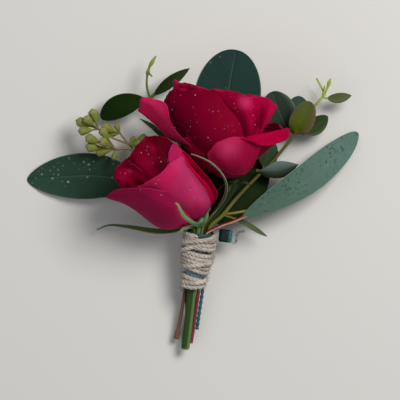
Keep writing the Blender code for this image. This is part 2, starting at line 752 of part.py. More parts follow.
BACK_SHEETS = [
    # The cup's broad near face, from its left edge to the turned rim on its right.
    Sheet((
        (
            (12.0, 13.0, 32.0), (1.5, 25.0, 34.0), (-7.0, 36.0, 38.0), (-11.0, 45.0, 39.0),
            (-12.0, 50.0, 38.0),
        ),
        (
            (14.0, 12.0, 37.5), (4.0, 26.0, 41.5), (-3.0, 39.0, 45.5), (-7.0, 48.0, 44.5),
            (-8.8, 54.0, 42.0),
        ),
        (
            (16.0, 11.5, 41.0), (9.5, 27.0, 47.5), (5.0, 42.0, 50.0), (3.5, 50.0, 48.5),
            (3.0, 55.0, 46.5),
        ),
        (
            (18.0, 11.0, 44.0), (16.0, 27.0, 50.0), (14.0, 41.0, 51.0), (13.5, 50.0, 49.5),
            (13.7, 54.9, 48.0),
        ),
        (
            (21.0, 11.0, 43.0), (23.0, 26.0, 48.5), (25.0, 39.0, 49.0), (25.5, 47.0, 48.0),
            (25.7, 52.2, 47.5),
        ),
        (
            (24.0, 12.0, 40.0), (29.0, 24.0, 43.0), (32.0, 34.0, 43.0), (34.0, 42.5, 43.5),
            (35.4, 51.2, 44.5),
        ),
        (
            (25.5, 13.0, 36.0), (31.5, 24.0, 37.5), (35.0, 34.0, 37.0), (37.5, 42.0, 38.0),
            (39.7, 49.0, 41.0),
        ),
        (
            (26.5, 14.0, 36.0), (32.5, 25.0, 39.5), (36.8, 35.5, 41.5), (40.3, 41.0, 42.0),
            (42.5, 46.8, 42.5),
        ),
    )),
    # The petal whose lip shows over the cup's upper left.
    Sheet((
        ((0.0, 30.0, 34.0), (-6.0, 42.0, 38.0), (-9.0, 52.0, 38.0), (-7.9, 59.2, 40.0)),
        ((4.0, 30.0, 38.0), (0.0, 42.0, 43.0), (-1.0, 52.0, 43.5), (-1.0, 58.4, 45.0)),
        ((8.0, 30.0, 40.0), (6.0, 42.0, 45.0), (5.5, 50.0, 45.5), (5.5, 56.8, 46.5)),
        ((12.0, 30.0, 40.0), (11.0, 40.0, 45.0), (10.0, 47.0, 45.5), (9.6, 53.0, 46.0)),
    )),
    # The outer petal at the left, folded back to its tip.
    Sheet((
        (
            (12.0, 14.0, 33.0), (1.0, 25.8, 38.5), (-5.6, 31.8, 43.5), (-10.4, 39.0, 44.5),
            (-12.4, 47.7, 42.0), (-18.9, 50.4, 37.0), (-24.0, 51.4, 33.0),
        ),
        (
            (12.0, 14.0, 29.0), (-1.0, 26.0, 33.0), (-8.5, 31.6, 38.0), (-14.6, 39.6, 38.5),
            (-20.0, 46.0, 36.5), (-25.2, 49.0, 32.5),
        ),
        (
            (12.0, 14.0, 24.0), (-1.5, 26.5, 27.0), (-10.6, 30.4, 30.0), (-17.2, 37.2, 30.5),
            (-22.0, 41.5, 30.0), (-25.8, 44.9, 29.5),
        ),
        (
            (13.0, 15.0, 18.0), (1.0, 27.0, 18.0), (-8.0, 33.0, 20.0), (-14.0, 39.0, 23.0),
            (-20.0, 44.0, 25.5), (-25.0, 46.0, 27.5),
        ),
    )),
    # The dark flank between the left petal and the lower front petal.
    Sheet((
        ((16.0, 10.5, 36.5), (10.0, 15.5, 39.0), (6.0, 24.0, 41.0), (3.0, 33.0, 43.0)),
        ((14.0, 11.2, 30.0), (6.2, 16.8, 31.5), (1.5, 24.0, 35.0), (-2.0, 32.0, 39.0)),
        ((14.0, 12.2, 22.0), (7.0, 18.0, 22.0), (2.5, 25.0, 25.0), (-3.0, 32.0, 29.0)),
    )),
    # The domed lower front petal.
    Sheet((
        ((17.0, 10.5, 38.0), (12.0, 13.5, 43.0), (9.0, 17.5, 47.0), (8.0, 22.5, 49.5)),
        ((18.0, 10.0, 40.0), (14.0, 15.0, 48.0), (12.5, 22.0, 52.5), (12.5, 28.0, 53.0)),
        ((20.0, 9.8, 41.0), (19.0, 16.0, 50.0), (18.5, 24.0, 54.5), (19.0, 30.8, 54.5)),
        ((22.5, 9.8, 41.0), (24.5, 16.0, 49.0), (26.0, 24.0, 53.5), (27.0, 31.0, 54.0)),
        ((24.5, 10.5, 39.0), (29.0, 15.0, 45.0), (32.5, 21.5, 48.5), (35.0, 27.0, 50.0)),
    )),
    # The right petal with its lip rolled over towards the viewer.
    Sheet((
        (
            (24.0, 12.0, 42.0), (27.0, 22.0, 49.0), (28.5, 30.5, 52.5), (29.3, 31.0, 55.0),
            (30.0, 28.8, 55.5),
        ),
        (
            (25.0, 12.0, 40.0), (31.0, 22.0, 46.0), (35.0, 31.0, 50.5), (35.6, 32.4, 53.5),
            (34.5, 27.0, 54.0),
        ),
        (
            (26.0, 12.0, 36.0), (36.0, 24.0, 42.0), (41.0, 33.0, 47.5), (42.0, 33.4, 50.5),
            (40.5, 27.2, 51.5),
        ),
        (
            (26.0, 12.0, 32.0), (40.0, 27.0, 36.0), (46.3, 34.8, 43.5), (48.0, 34.2, 46.5),
            (45.8, 29.2, 47.5),
        ),
        (
            (26.0, 13.0, 28.0), (40.0, 30.0, 30.0), (46.8, 35.6, 38.0), (49.1, 34.2, 41.0),
            (48.6, 31.2, 43.5),
        ),
    )),
    # The petal behind it, which closes the dark hollow at the right.
    Sheet((
        ((24.0, 14.0, 32.0), (31.0, 26.0, 34.0), (37.2, 37.8, 37.0)),
        ((25.0, 14.0, 29.0), (34.0, 26.0, 30.0), (42.2, 38.2, 34.0)),
        ((26.0, 13.0, 25.0), (36.0, 26.0, 26.0), (46.9, 35.8, 34.0)),
    )),
]

BACK_ROSE = Rose(
    name="rose_back",
    base=(20.5, 8.2, 25.0),
    heading=8.0,
    tilt=6.0,
    core_radius=13.0,
    core_height=36.0,
    sheets=BACK_SHEETS,
    petals=[
        Petal(172, 42, 46, ((0.0, 72), (0.3, 20), (0.8, 4), (1.0, 10)), drop=0.2, point=2.0),
        Petal(118, 40, 44, ((0.0, 72), (0.3, 26), (0.8, 10), (1.0, 20)), drop=0.24),
        Petal(-118, 34, 46, ((0.0, 66), (0.3, 22), (0.8, 8), (1.0, 16)), drop=0.24),
        Petal(72, 30, 43, ((0.0, 52), (0.35, 20), (0.75, -2), (1.0, 4)), wrap=1.0, drop=0.2),
        Petal(-105, 30, 45, ((0.0, 52), (0.35, 16), (0.75, 0), (1.0, 4)), wrap=1.0, drop=0.2),
    ],
    sepals=[
        (-20.0, 4.0, ((6.0, -2.4), (9.5, -4.6), (12.0, -7.5))),
        (58.0, 4.0, ((6.0, -2.4), (10.5, -3.4), (14.0, -3.6))),
        (-90.0, 4.0, ((5.0, -2.2), (7.5, -4.0), (9.0, -6.0))),
        (172.0, 4.0, ((5.0, -2.2), (7.5, -3.4), (9.5, -4.6))),
    ],
    stem=(
        bundle_point(1.93, 0.5, -3.05),
        bundle_point(1.5, 0.3, -2.6),
        bundle_point(1.0, 0.0, -2.2),
        bundle_point(0.5, 1.3, -1.8),
        *held(SLOT_BACK_ROSE)[1:],
        (12.0, -7.6, 18.5),
    ),
    stem_radii=((0.0, 1.75), (0.75, 1.75), (1.0, 2.0)),
)

# Single leaves: each stalk is held in the binding.

LEFT_LEAF = Leaf(
    path=(
        *held(SLOT_LEAF_LEFT),
        (-8.6, -9.0, 10.2),
        (-26.0, 5.5, 5.0),
        (-42.0, 11.5, 6.4),
        (-60.0, 12.0, 5.2),
        (-82.5, 10.0, 0.345),
    ),
    blade=0.44,
    width=23.4,
    face=(0.0, -0.15, 1.0),
    cup=0.12,
    skew=1.0,
    full=0.62,
)

TOP_LEAF = Leaf(
    path=(
        *held(SLOT_LEAF_TOP),
        (8.0, -4.0, 7.0),
        (12.5, 16.0, 2.6),
        (15.5, 34.0, 0.9),
        (19.0, 56.0, 0.38),
        (22.6, 75.6, 0.38),
    ),
    blade=0.5,
    width=33.5,
    cup=0.0,
    skew=1.1,
    full=0.46,
    wall=0.8,
)

RIGHT_LEAF = Leaf(
    path=(
        *held(SLOT_LEAF_RIGHT),
        (15.4, -11.8, 22.4),
        (26.0, -6.4, 21.0),
        (54.0, 9.0, 16.5),
        (72.0, 24.0, 8.5),
        (83.2, 33.4, 0.31),
    ),
    blade=0.21,
    width=19.6,
    face=(-0.05, -0.1, 1.0),
    cup=0.13,
    skew=1.12,
    full=0.66,
    stalk=0.75,
)

DARK_LEAF = Leaf(
    path=(
        *held(SLOT_LEAF_DARK),
        (12.6, -10.0, 10.0),
        (20.5, -1.0, 9.0),
        (29.0, 8.0, 8.0),
        (38.0, 20.5, 6.0),
    ),
    blade=0.3,
    width=21.0,
    face=(0.1, 0.0, 1.0),
    stalk=0.6,
    cup=0.12,
    full=0.6,
)

SLIM_LEAF = Leaf(
    path=(
        *held(SLOT_SLIM, top=-0.06),
        (-0.6, -13.2, 20.0),
        (-4.6, -14.0, 16.2),
        (-9.0, -15.8, 14.2),
        (-18.0, -16.2, 13.0),
        (-32.0, -13.6, 11.0),
        (-41.0, -12.6, 9.5),
        (-47.3, -15.0, 8.0),
    ),
    blade=0.28,
    width=7.0,
    face=(0.0, -0.85, 0.5),
    face_tip=(0.0, -0.9, 0.35),
    cup=0.2,
    skew=0.7,
    full=0.8,
    stalk=0.5,
)

CURL_LEAF = Leaf(
    path=(
        *held(SLOT_CURL),
        (10.6, -7.4, 27.5),
        (16.4, 0.6, 36.5),
        (17.8, 7.2, 44.0),
        (15.6, 12.8, 50.5),
        (10.4, 18.2, 55.2),
        (4.0, 21.4, 53.0),
        (0.2, 22.6, 50.0),
    ),
    blade=0.3,
    width=4.6,
    face=(-0.8, 0.5, 0.15),
    face_tip=(-0.35, -0.9, 0.1),
    cup=0.1,
    skew=0.8,
    full=0.7,
    stalk=0.6,
    wall=0.8,
)


def right_sprig():
    """The young eucalyptus sprig on the right: a twig through the binding, leaves and a shoot tip."""
    twig = (
        bundle_point(1.88, 3.1, 0.7),
        bundle_point(1.5, 3.3, 0.8),
        bundle_point(1.0, 3.6, 0.9),
        bundle_point(0.5, 4.2, 1.2),
        *held(SLOT_SPRIG_RIGHT)[1:],
        (15.6, -7.8, 19.4),
        (23.2, 1.4, 18.8),
        (33.2, 11.8, 15.0),
        (41.5, 20.0, 13.5),
        (53.0, 34.2, 12.5),
        (61.5, 46.4, 12.0),
        (67.4, 53.2, 11.5),
    )
    radii = ((0.0, 0.95), (0.35, 0.95), (0.8, 0.8), (1.0, 0.55))
    parts = [tube("sprig", twig, radii, "leaf_grey", sides=6, rows=18)]
    leaves = [
        Leaf(
            ((52.0, 33.6, 12.4), (49.0, 37.5, 10.5), (46.0, 46.0, 8.5), (42.2, 54.4, 5.6)),
            0.14, 16.0, (0.1, -0.15, 1.0), skew=0.95, full=0.5,
        ),
        Leaf(
            ((52.5, 34.0, 12.2), (53.6, 38.0, 8.0), (55.0, 45.0, 5.5), (56.4, 51.6, 4.2)),
            0.16, 13.0, (0.15, -0.15, 1.0), full=0.52,
        ),
        Leaf(
            ((51.4, 32.6, 12.6), (53.6, 36.2, 17.5), (57.2, 43.0, 20.0), (60.0, 50.2, 20.5)),
            0.1, 12.4, (-0.1, -0.15, 1.0), cup=0.3, full=0.52,
        ),
        Leaf(
            ((53.4, 34.4, 12.4), (57.0, 34.2, 11.0), (62.5, 36.2, 10.0), (68.4, 41.4, 9.0)),
            0.12, 9.4, (0.0, -0.2, 1.0), cup=0.25, full=0.6,
        ),
        Leaf(
            ((67.0, 52.6, 11.5), (69.6, 52.8, 11.4), (74.5, 53.0, 11.0), (79.8, 51.8, 10.0)),
            0.16, 5.2, (0.0, -0.1, 1.0), full=0.7, stalk=0.5,
        ),
        Leaf(
            ((33.4, 11.6, 15.0), (38.0, 13.2, 16.5), (45.0, 16.4, 15.5), (53.8, 19.2, 13.0)),
            0.1, 9.0, (-0.1, 0.35, 0.95), cup=0.3, full=0.75,
        ),
        Leaf(
            ((35.6, 14.0, 14.6), (37.6, 18.6, 12.0), (38.6, 24.6, 10.0), (38.8, 31.6, 8.0)),
            0.14, 10.6, (0.1, 0.0, 1.0), full=0.6,
        ),
        Leaf(
            ((15.6, -7.4, 18.2), (20.0, -8.6, 17.6), (28.0, -12.0, 15.5), (38.0, -18.2, 12.5)),
            0.24, 3.8, (-0.15, -0.3, 0.95), full=0.6, stalk=0.5, skew=1.0,
        ),
    ]
    for leaf in leaves:
        parts.append(leaf.build("sprig", "leaf_grey", stalk_rows=1, blade_rows=5, around=6))
    shoots = (
        (((67.0, 52.8, 11.5), (65.6, 56.0, 12.5), (63.0, 60.8, 13.5)), ((0.0, 0.5), (1.0, 0.42))),
        (
            ((66.6, 52.4, 11.4), (68.2, 55.8, 11.8), (69.8, 60.4, 12.2)),
            ((0.0, 0.5), (0.45, 0.5), (0.8, 1.0), (1.0, 0.5)),
        ),
        (((65.8, 51.4, 11.5), (66.4, 54.2, 12.8), (67.0, 57.0, 14.0)), ((0.0, 0.45), (1.0, 0.4))),
        (((15.9, -7.0, 18.1), (21.0, -6.6, 17.6), (27.6, -5.4, 17.0)), ((0.0, 0.7), (1.0, 0.6))),
    )
    for points, thick in shoots:
        parts.append(tube("sprig", points, thick, "leaf_grey", sides=5, rows=3))
    return fuse("sprig_right", parts)


def left_sprig():
    """The green sprig at the upper left: a twig with a leaf pair, a narrow leaf and a shoot."""
    twig = (
        *held(SLOT_SPRIG_LEFT),
        (-1.0, 4.0, 5.4),
        (-4.0, 23.0, 6.0),
        (-11.0, 38.0, 8.4),
        (-20.6, 51.0, 12.0),
    )
    parts = [tube("sprig", twig, ((0.0, 0.9), (1.0, 0.8)), "leaf_green", sides=6, rows=12)]
    leaves = [
        Leaf(
            ((-20.2, 50.4, 12.0), (-25.0, 50.0, 12.4), (-36.0, 47.0, 11.0), (-45.2, 41.0, 8.0)),
            0.1, 13.4, (0.05, -0.05, 1.0), skew=1.1, full=0.6,
        ),
        Leaf(
            ((-20.4, 51.0, 12.0), (-17.0, 54.0, 12.6), (-9.5, 60.0, 12.4), (-0.8, 66.0, 10.6)),
            0.1, 9.0, (0.1, -0.2, 1.0), cup=0.22, full=0.75,
        ),
        Leaf(
            ((-8.2, 33.4, 7.4), (-14.0, 32.4, 9.0), (-19.5, 37.0, 12.6), (-25.4, 40.6, 14.2)),
            0.1, 2.6, (0.0, -0.2, 1.0), cup=0.1, full=0.7,
        ),
    ]
    for leaf in leaves:
        parts.append(leaf.build("sprig", "leaf_green", stalk_rows=1, blade_rows=6, around=6))
    shoot = ((-20.6, 50.6, 12.0), (-22.2, 58.0, 13.0), (-21.2, 65.6, 14.0), (-17.8, 71.8, 14.4))
    thick = ((0.0, 0.65), (0.55, 0.6), (0.8, 1.05), (1.0, 0.55))
    parts.append(tube("sprig", shoot, thick, "leaf_green", sides=6, rows=8))
    return fuse("sprig_left", parts)


# The eucalyptus bud spray: twigs that end in umbels of top-shaped buds.


@dataclass
class Umbel:
    """A cluster of buds from one node. Each bud is (heading in degrees from +X, length, lift)."""

    node: tuple
    buds: tuple


UMBELS = (
    Umbel(
        (-46.8, 36.4, 17.0),
        ((112, 9.4, 2.5), (146, 7.8, 5.0), (160, 9.4, 0.0), (196, 8.6, 2.5), (222, 7.4, -3.0)),
    ),
    Umbel(
        (-39.2, 27.0, 16.0),
        ((128, 8.2, 5.0), (154, 8.2, 6.0), (168, 10.6, 1.5), (186, 12.6, 0.0), (212, 8.0, -3.5)),
    ),
    Umbel((-35.4, 33.4, 14.5), ((160, 9.6, 2.5), (112, 5.6, -1.0))),
    Umbel((-22.4, 31.6, 11.5), ((172, 8.2, 3.0), (208, 7.6, 2.0), (120, 6.0, 0.0))),
)
BUD_PROFILE = ((0.0, 0.45), (0.2, 0.6), (0.5, 1.35), (0.85, 2.1), (1.0, 0.7))


def bud_spray():
    """Twigs, bud stalks and buds as one body."""
    main = (
        bundle_point(1.86, -4.2, -0.7),
        bundle_point(1.5, -3.9, -0.7),
        bundle_point(1.0, -3.7, -0.6),
        bundle_point(0.5, -4.2, 0.2),
        *held(SLOT_SPRAY)[1:],
        (-4.4, -4.0, 13.6),
        (-18.0, 15.0, 9.8),
        (-30.0, 26.2, 14.0),
        (-39.2, 27.0, 16.0),
    )
    radii = ((0.0, 0.85), (0.5, 0.85), (1.0, 0.7))
    parts = [tube("spray", main, radii, "bud", sides=6, rows=16)]
    branches = (
        ((-29.0, 25.8, 13.6), (-33.6, 30.4, 15.0), (-36.0, 35.0, 14.0)),
        ((-31.5, 28.0, 14.4), (-39.0, 31.5, 16.5), (-46.8, 36.4, 17.0)),
        ((-18.6, 16.2, 9.6), (-20.6, 25.0, 10.0), (-22.4, 31.6, 11.5)),
    )
    for points in branches:
        parts.append(tube("spray", points, 0.6, "bud", sides=5, rows=3))
    for umbel in UMBELS:
        for heading, length, lift in umbel.buds:
            parts.append(bud(Vector(umbel.node), heading, length, lift))
    return fuse("bud_spray", parts)


def bud(node, heading, length, lift):
    """One bud: a stalk that swells to a rim and closes in a low cone."""
    turn = math.radians(heading)
    tip = node + Vector((math.cos(turn) * length, math.sin(turn) * length, lift))
    path = Path((node, node.lerp(tip, 0.5), tip))
    return make_object("bud", *loft(tube_rings(path, BUD_PROFILE, 6, 6)), "bud")


# The binding.


def wrap_ring(share, depth, sides):
    """One ring at a share of the binding's height, a depth inside its outer surface."""
    ring = []
    for k in range(sides):
        turn = 2 * math.pi * k / sides
        across = (along_table(WRAP_HALF_WIDTHS, share) - depth) * math.cos(turn)
        front = (along_table(WRAP_HALF_DEPTHS, share) - depth) * math.sin(turn)
        ring.append(bundle_point(share, across, front))
    return ring


def sleeve(name, slot, outer_rings, inner_rings):
    """A sleeve from the rings of its outside and, in the opposite order, those of its inside."""
    rings = [*outer_rings, *inner_rings]
    sides = len(rings[0])
    points, faces = loft([*rings, rings[0]])
    count = len(rings) * sides
    faces = [tuple(i % count for i in face) for face in faces[:-2]]
    return make_object(name, points[:count], faces, slot)


def tape_sleeve(top=-0.06, foot=0.3, rows=4, sides=16):
    """The tape round the stems, under the twine, which shows at its upper edge."""
    shares = [mix(top, foot, i / rows) for i in range(rows + 1)]
    outer = [wrap_ring(share, TAPE_INSET, sides) for share in shares]
    inner = [wrap_ring(share, TAPE_INSET + TAPE_WALL, sides) for share in reversed(shares)]
    return sleeve("tape_sleeve", "tape", outer, inner)


def twine_body(sides=16):
    """The wound twine as one sleeve, ribbed by its turns."""
    turns = round((BUNDLE_FOOT - BUNDLE_TOP).length / TWINE_PITCH)
    outer = []
    for i in range(2 * turns + 1):
        groove = TWINE_GROOVE if i % 2 else 0.0
        outer.append(wrap_ring(i / (2 * turns), groove, sides))
    shares = (1.0, 0.8, 0.6, 0.4, 0.2, 0.0)
    inner = [wrap_ring(share, along_table(TWINE_WALLS, share), sides) for share in shares]
    return sleeve("twine", "twine", outer, inner)


def twine_tail():
    """The twine's cut end, which stands off the binding's lower left."""
    foot = bundle_point(0.95, -5.6, 0.4)
    points = (foot, foot + Vector((-1.6, -1.0, -0.4)), foot + Vector((-3.4, -3.2, -1.2)))
    return tube("tail", points, 0.6, "twine", sides=6, rows=4)


def taped_wire():
    """The florist's wire in its spiral of tape, which ends above the cut stems."""
    top, held_end = bundle_point(1.0, 3.1, -2.4), bundle_point(0.88, 3.1, -2.4)
    path = Path((held_end, top, bundle_point(1.7, 4.5, -1.6)))
    beads = [(i / 18, 0.82 + 0.13 * math.cos(i * math.pi)) for i in range(19)]
    return make_object("taped_wire", *loft(tube_rings(path, beads, 7, 18)), "tape")


def box_between(name, low, high, slot, frame):
    """A block between two corners of a frame."""
    corners = [(x, y, z) for z in (low[2], high[2]) for y in (low[1], high[1]) for x in (low[0], high[0])]
    faces = [(0, 2, 3, 1), (4, 5, 7, 6), (0, 1, 5, 4), (2, 6, 7, 3), (0, 4, 6, 2), (1, 3, 7, 5)]
    return make_object(name, [frame @ Vector(c) for c in corners], faces, slot)


CLASP_ORIGIN = Vector((13.0, -17.6, 12.6))
CLASP_FRAME = Matrix.Translation(CLASP_ORIGIN) @ Matrix.Rotation(math.radians(-7.0), 4, "Z")


def clasp():
    """The taped tab beside the binding and its bright steel loop."""
    tab = box_between("clasp_tape", (0.9, -3.1, -1.6), (7.6, 3.4, 1.6), "tape", CLASP_FRAME)
    soften = tab.modifiers.new("soften", "BEVEL")
    soften.width = 0.6 * MM
    soften.segments = 2
    foot = [(7.9, -2.4, 0.0), (9.4, -2.6, 0.0), (10.0, -1.6, 0.0)]
    arm = [(10.1, 1.2, 0.1), (10.9, 2.6, 0.4), (13.4, 3.6, 0.9)]
    hook = foot + arm
    loop = tube("clasp_loop", [CLASP_FRAME @ Vector(p) for p in hook], 0.45, "steel", sides=8, rows=14)
    return tab, loop


def build():
    """Builds every node of the bouquet."""
    clear_scene()
    FRONT_ROSE.bloom()
    FRONT_ROSE.greens()
    BACK_ROSE.bloom()
    BACK_ROSE.greens()
    LEFT_LEAF.build("leaf_left", "leaf_grey", stalk_rows=8, blade_rows=10)
    top = TOP_LEAF.build("leaf_top", "leaf_grey", stalk_rows=8, blade_rows=12)
    cut_below(top)
    RIGHT_LEAF.build("leaf_right", "leaf_pale", stalk_rows=5, blade_rows=12)
    DARK_LEAF.build("leaf_dark", "leaf_green", stalk_rows=6, blade_rows=8)
    SLIM_LEAF.build("leaf_slim", "leaf_green", stalk_rows=6, blade_rows=9, around=6)
    CURL_LEAF.build("leaf_curl", "leaf_grey", stalk_rows=5, blade_rows=14, around=6)
    right_sprig()
    left_sprig()
    bud_spray()
    tape_sleeve()
    fuse("twine_wrap", [twine_body(), twine_tail()])
    taped_wire()
    clasp()


build()
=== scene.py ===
"""The looks of a buttonhole bouquet: two red roses and eucalyptus, bound with jute twine.

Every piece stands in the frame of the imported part, in metres, with +Z up out of the surface that
the bouquet lies on. The tables below are in millimetres, and a mesh is scaled as it is made.
"""

import bisect
import json
import logging
from dataclasses import dataclass, field
from enum import Enum
from math import copysign, cos, exp, pi, radians, sin
from typing import Callable, Iterable, Mapping, Sequence, Union

import bpy
from bpy.types import ID, Material, Mesh, NodeSocket, NodeTree, Object
from mathutils import Matrix, Vector, noise

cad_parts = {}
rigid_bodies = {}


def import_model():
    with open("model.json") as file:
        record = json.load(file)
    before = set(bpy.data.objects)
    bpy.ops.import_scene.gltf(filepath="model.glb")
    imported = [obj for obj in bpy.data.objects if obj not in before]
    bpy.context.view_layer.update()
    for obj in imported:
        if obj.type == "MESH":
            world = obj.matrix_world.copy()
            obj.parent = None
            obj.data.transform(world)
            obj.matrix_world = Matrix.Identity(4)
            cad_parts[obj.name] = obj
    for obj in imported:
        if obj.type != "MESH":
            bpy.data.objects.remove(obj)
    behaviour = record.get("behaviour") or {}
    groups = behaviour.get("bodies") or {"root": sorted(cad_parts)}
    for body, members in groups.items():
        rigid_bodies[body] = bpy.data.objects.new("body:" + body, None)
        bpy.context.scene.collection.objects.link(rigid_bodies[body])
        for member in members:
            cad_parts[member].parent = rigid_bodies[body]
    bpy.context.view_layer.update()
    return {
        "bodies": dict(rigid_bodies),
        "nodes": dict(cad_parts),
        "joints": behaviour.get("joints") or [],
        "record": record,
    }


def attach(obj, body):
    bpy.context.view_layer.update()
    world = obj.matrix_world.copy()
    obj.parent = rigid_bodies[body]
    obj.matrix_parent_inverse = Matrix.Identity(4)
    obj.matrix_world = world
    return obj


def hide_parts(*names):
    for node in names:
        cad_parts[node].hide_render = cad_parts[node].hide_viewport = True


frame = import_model()

MM = 0.001
TURN = 2.0 * pi
UP = Vector((0.0, 0.0, 1.0))
LOG = logging.getLogger("bouquet")

Point = tuple[float, float, float]
Colour = tuple[float, float, float]
Grid = list[list[Vector]]
Pair = tuple[float, float]
Table = Sequence[Pair]
TintTable = Sequence[tuple[float, Colour]]


class Slot(Enum):
    """The record's material slots, one named for each piece."""

    PETAL = "petal"
    ROSE_GREEN = "rose_green"
    LEAF_GREY = "leaf_grey"
    LEAF_PALE = "leaf_pale"
    LEAF_GREEN = "leaf_green"
    BUD = "bud"
    TWINE = "twine"
    TAPE = "tape"
    STEEL = "steel"


# Numbers and colours.


def mix(a: float, b: float, t: float) -> float:
    """The value a share t of the way from a to b."""
    return a + (b - a) * t


def ease(t: float) -> float:
    """An eased step from 0 to 1."""
    t = min(1.0, max(0.0, t))
    return t * t * (3.0 - 2.0 * t)


def along_table(table: Sequence[tuple], t: float) -> float | Colour:
    """The value or colour at t of a table of (place, value) steps, eased between its steps."""
    between = blend if isinstance(table[0][1], tuple) else mix
    for (t0, v0), (t1, v1) in zip(table, table[1:]):
        if t <= t1:
            return between(v0, v1, ease((t - t0) / (t1 - t0)))
    return table[-1][1]


def tone(red: float, green: float, blue: float) -> Colour:
    """A linear colour from the 0 to 255 values of a shown one."""
    shown = [value / 255.0 for value in (red, green, blue)]
    return tuple(v / 12.92 if v <= 0.04045 else ((v + 0.055) / 1.055) ** 2.4 for v in shown)


def blend(a: Colour, b: Colour, t: float) -> Colour:
    """The colour a share t of the way from a to b."""
    return tuple(mix(p, q, t) for p, q in zip(a, b))


def even(value: float | Colour) -> tuple:
    """A table of one value all along."""
    return (0.0, value), (1.0, value)


def round_turns(sides: int) -> list[float]:
    """The angles of the points of a ring."""
    return [TURN * k / sides for k in range(sides)]


def ripple(point: Vector, size: float, seed: float = 0.0) -> float:
    """A smooth random value from about -1 to 1 that changes over a size in millimetres."""
    return noise.noise(point / size + Vector((seed, 3.1 * seed, -seed)))


# Curves.


def smooth_path(points: Iterable[Sequence[float]], fine: int = 14) -> list[Vector]:
    """A dense smooth polyline through the points.

    Args:
        points: the points that it passes through.
        fine: the steps between two of them.

    Returns:
        The polyline's points.
    """
    points = [Vector(p) for p in points]
    ends = [2 * points[0] - points[1], *points, 2 * points[-1] - points[-2]]
    dense = []
    for i in range(len(points) - 1):
        p0, p1, p2, p3 = ends[i : i + 4]
        for k in range(fine):
            t = k / fine
            straight = 2.0 * p1 + (p2 - p0) * t
            bent = (2.0 * p0 - 5.0 * p1 + 4.0 * p2 - p3) * t * t
            twice_bent = (3.0 * p1 - p0 - 3.0 * p2 + p3) * t * t * t
            dense.append(0.5 * (straight + bent + twice_bent))
    return [*dense, points[-1]]


class Path:
    """A smooth curve through points, read by its share of length from 0 to 1."""

    def __init__(self, points: Iterable[Sequence[float]]) -> None:
        """Measures the curve."""
        self.dense = smooth_path(points)
        self.lengths = [0.0]
        for a, b in zip(self.dense, self.dense[1:]):
            self.lengths.append(self.lengths[-1] + (b - a).length)
        self.length = self.lengths[-1]

    def at(self, share: float) -> Vector:
        """The point at a share of the length."""
        wanted = min(1.0, max(0.0, share)) * self.length
        i = min(max(bisect.bisect_left(self.lengths, wanted) - 1, 0), len(self.dense) - 2)
        step = max(1e-9, self.lengths[i + 1] - self.lengths[i])
        return self.dense[i].lerp(self.dense[i + 1], (wanted - self.lengths[i]) / step)

    def tangent(self, share: float) -> Vector:
        """The direction of travel at a share of the length."""
        return (self.at(min(1.0, share + 0.01)) - self.at(max(0.0, share - 0.01))).normalized()


# Node trees.

Value = Union["Term", float, int, tuple, ID, None]


def operator(operation: str, flipped: bool = False) -> Callable[..., "Term"]:
    """A method of Term that adds a Math node.

    Args:
        operation: the node's operation.
        flipped: whether the term stands on the right of the other value.

    Returns:
        The method, which takes the other value where the operation has one.
    """

    def method(self: "Term", other: Value = None) -> "Term":
        """The result of the operation."""
        values = (other, self) if flipped else (self, other)
        inputs = {i: value for i, value in enumerate(values) if value is not None}
        return self.graph.node("ShaderNodeMath", {"operation": operation}, inputs)

    return method


class Term:
    """An output of a node. Arithmetic on it adds Math nodes to its tree."""

    __add__ = operator("ADD")
    __radd__ = operator("ADD", flipped=True)
    __sub__ = operator("SUBTRACT")
    __rsub__ = operator("SUBTRACT", flipped=True)
    __mul__ = operator("MULTIPLY")
    __rmul__ = operator("MULTIPLY", flipped=True)
    __truediv__ = operator("DIVIDE")
    __abs__ = operator("ABSOLUTE")
    cosine = operator("COSINE")
    sine = operator("SINE")
    most = operator("MAXIMUM")

    def __init__(self, graph: "Graph", socket: NodeSocket) -> None:
        """Wraps one output socket."""
        self.graph = graph
        self.socket = socket

    def step(self, low: float, high: float) -> "Term":
        """An eased step from 0 at low to 1 at high."""
        settings = {"interpolation_type": "SMOOTHSTEP"}
        inputs = {"Value": self, "From Min": low, "From Max": high}
        return self.graph.node("ShaderNodeMapRange", settings, inputs)


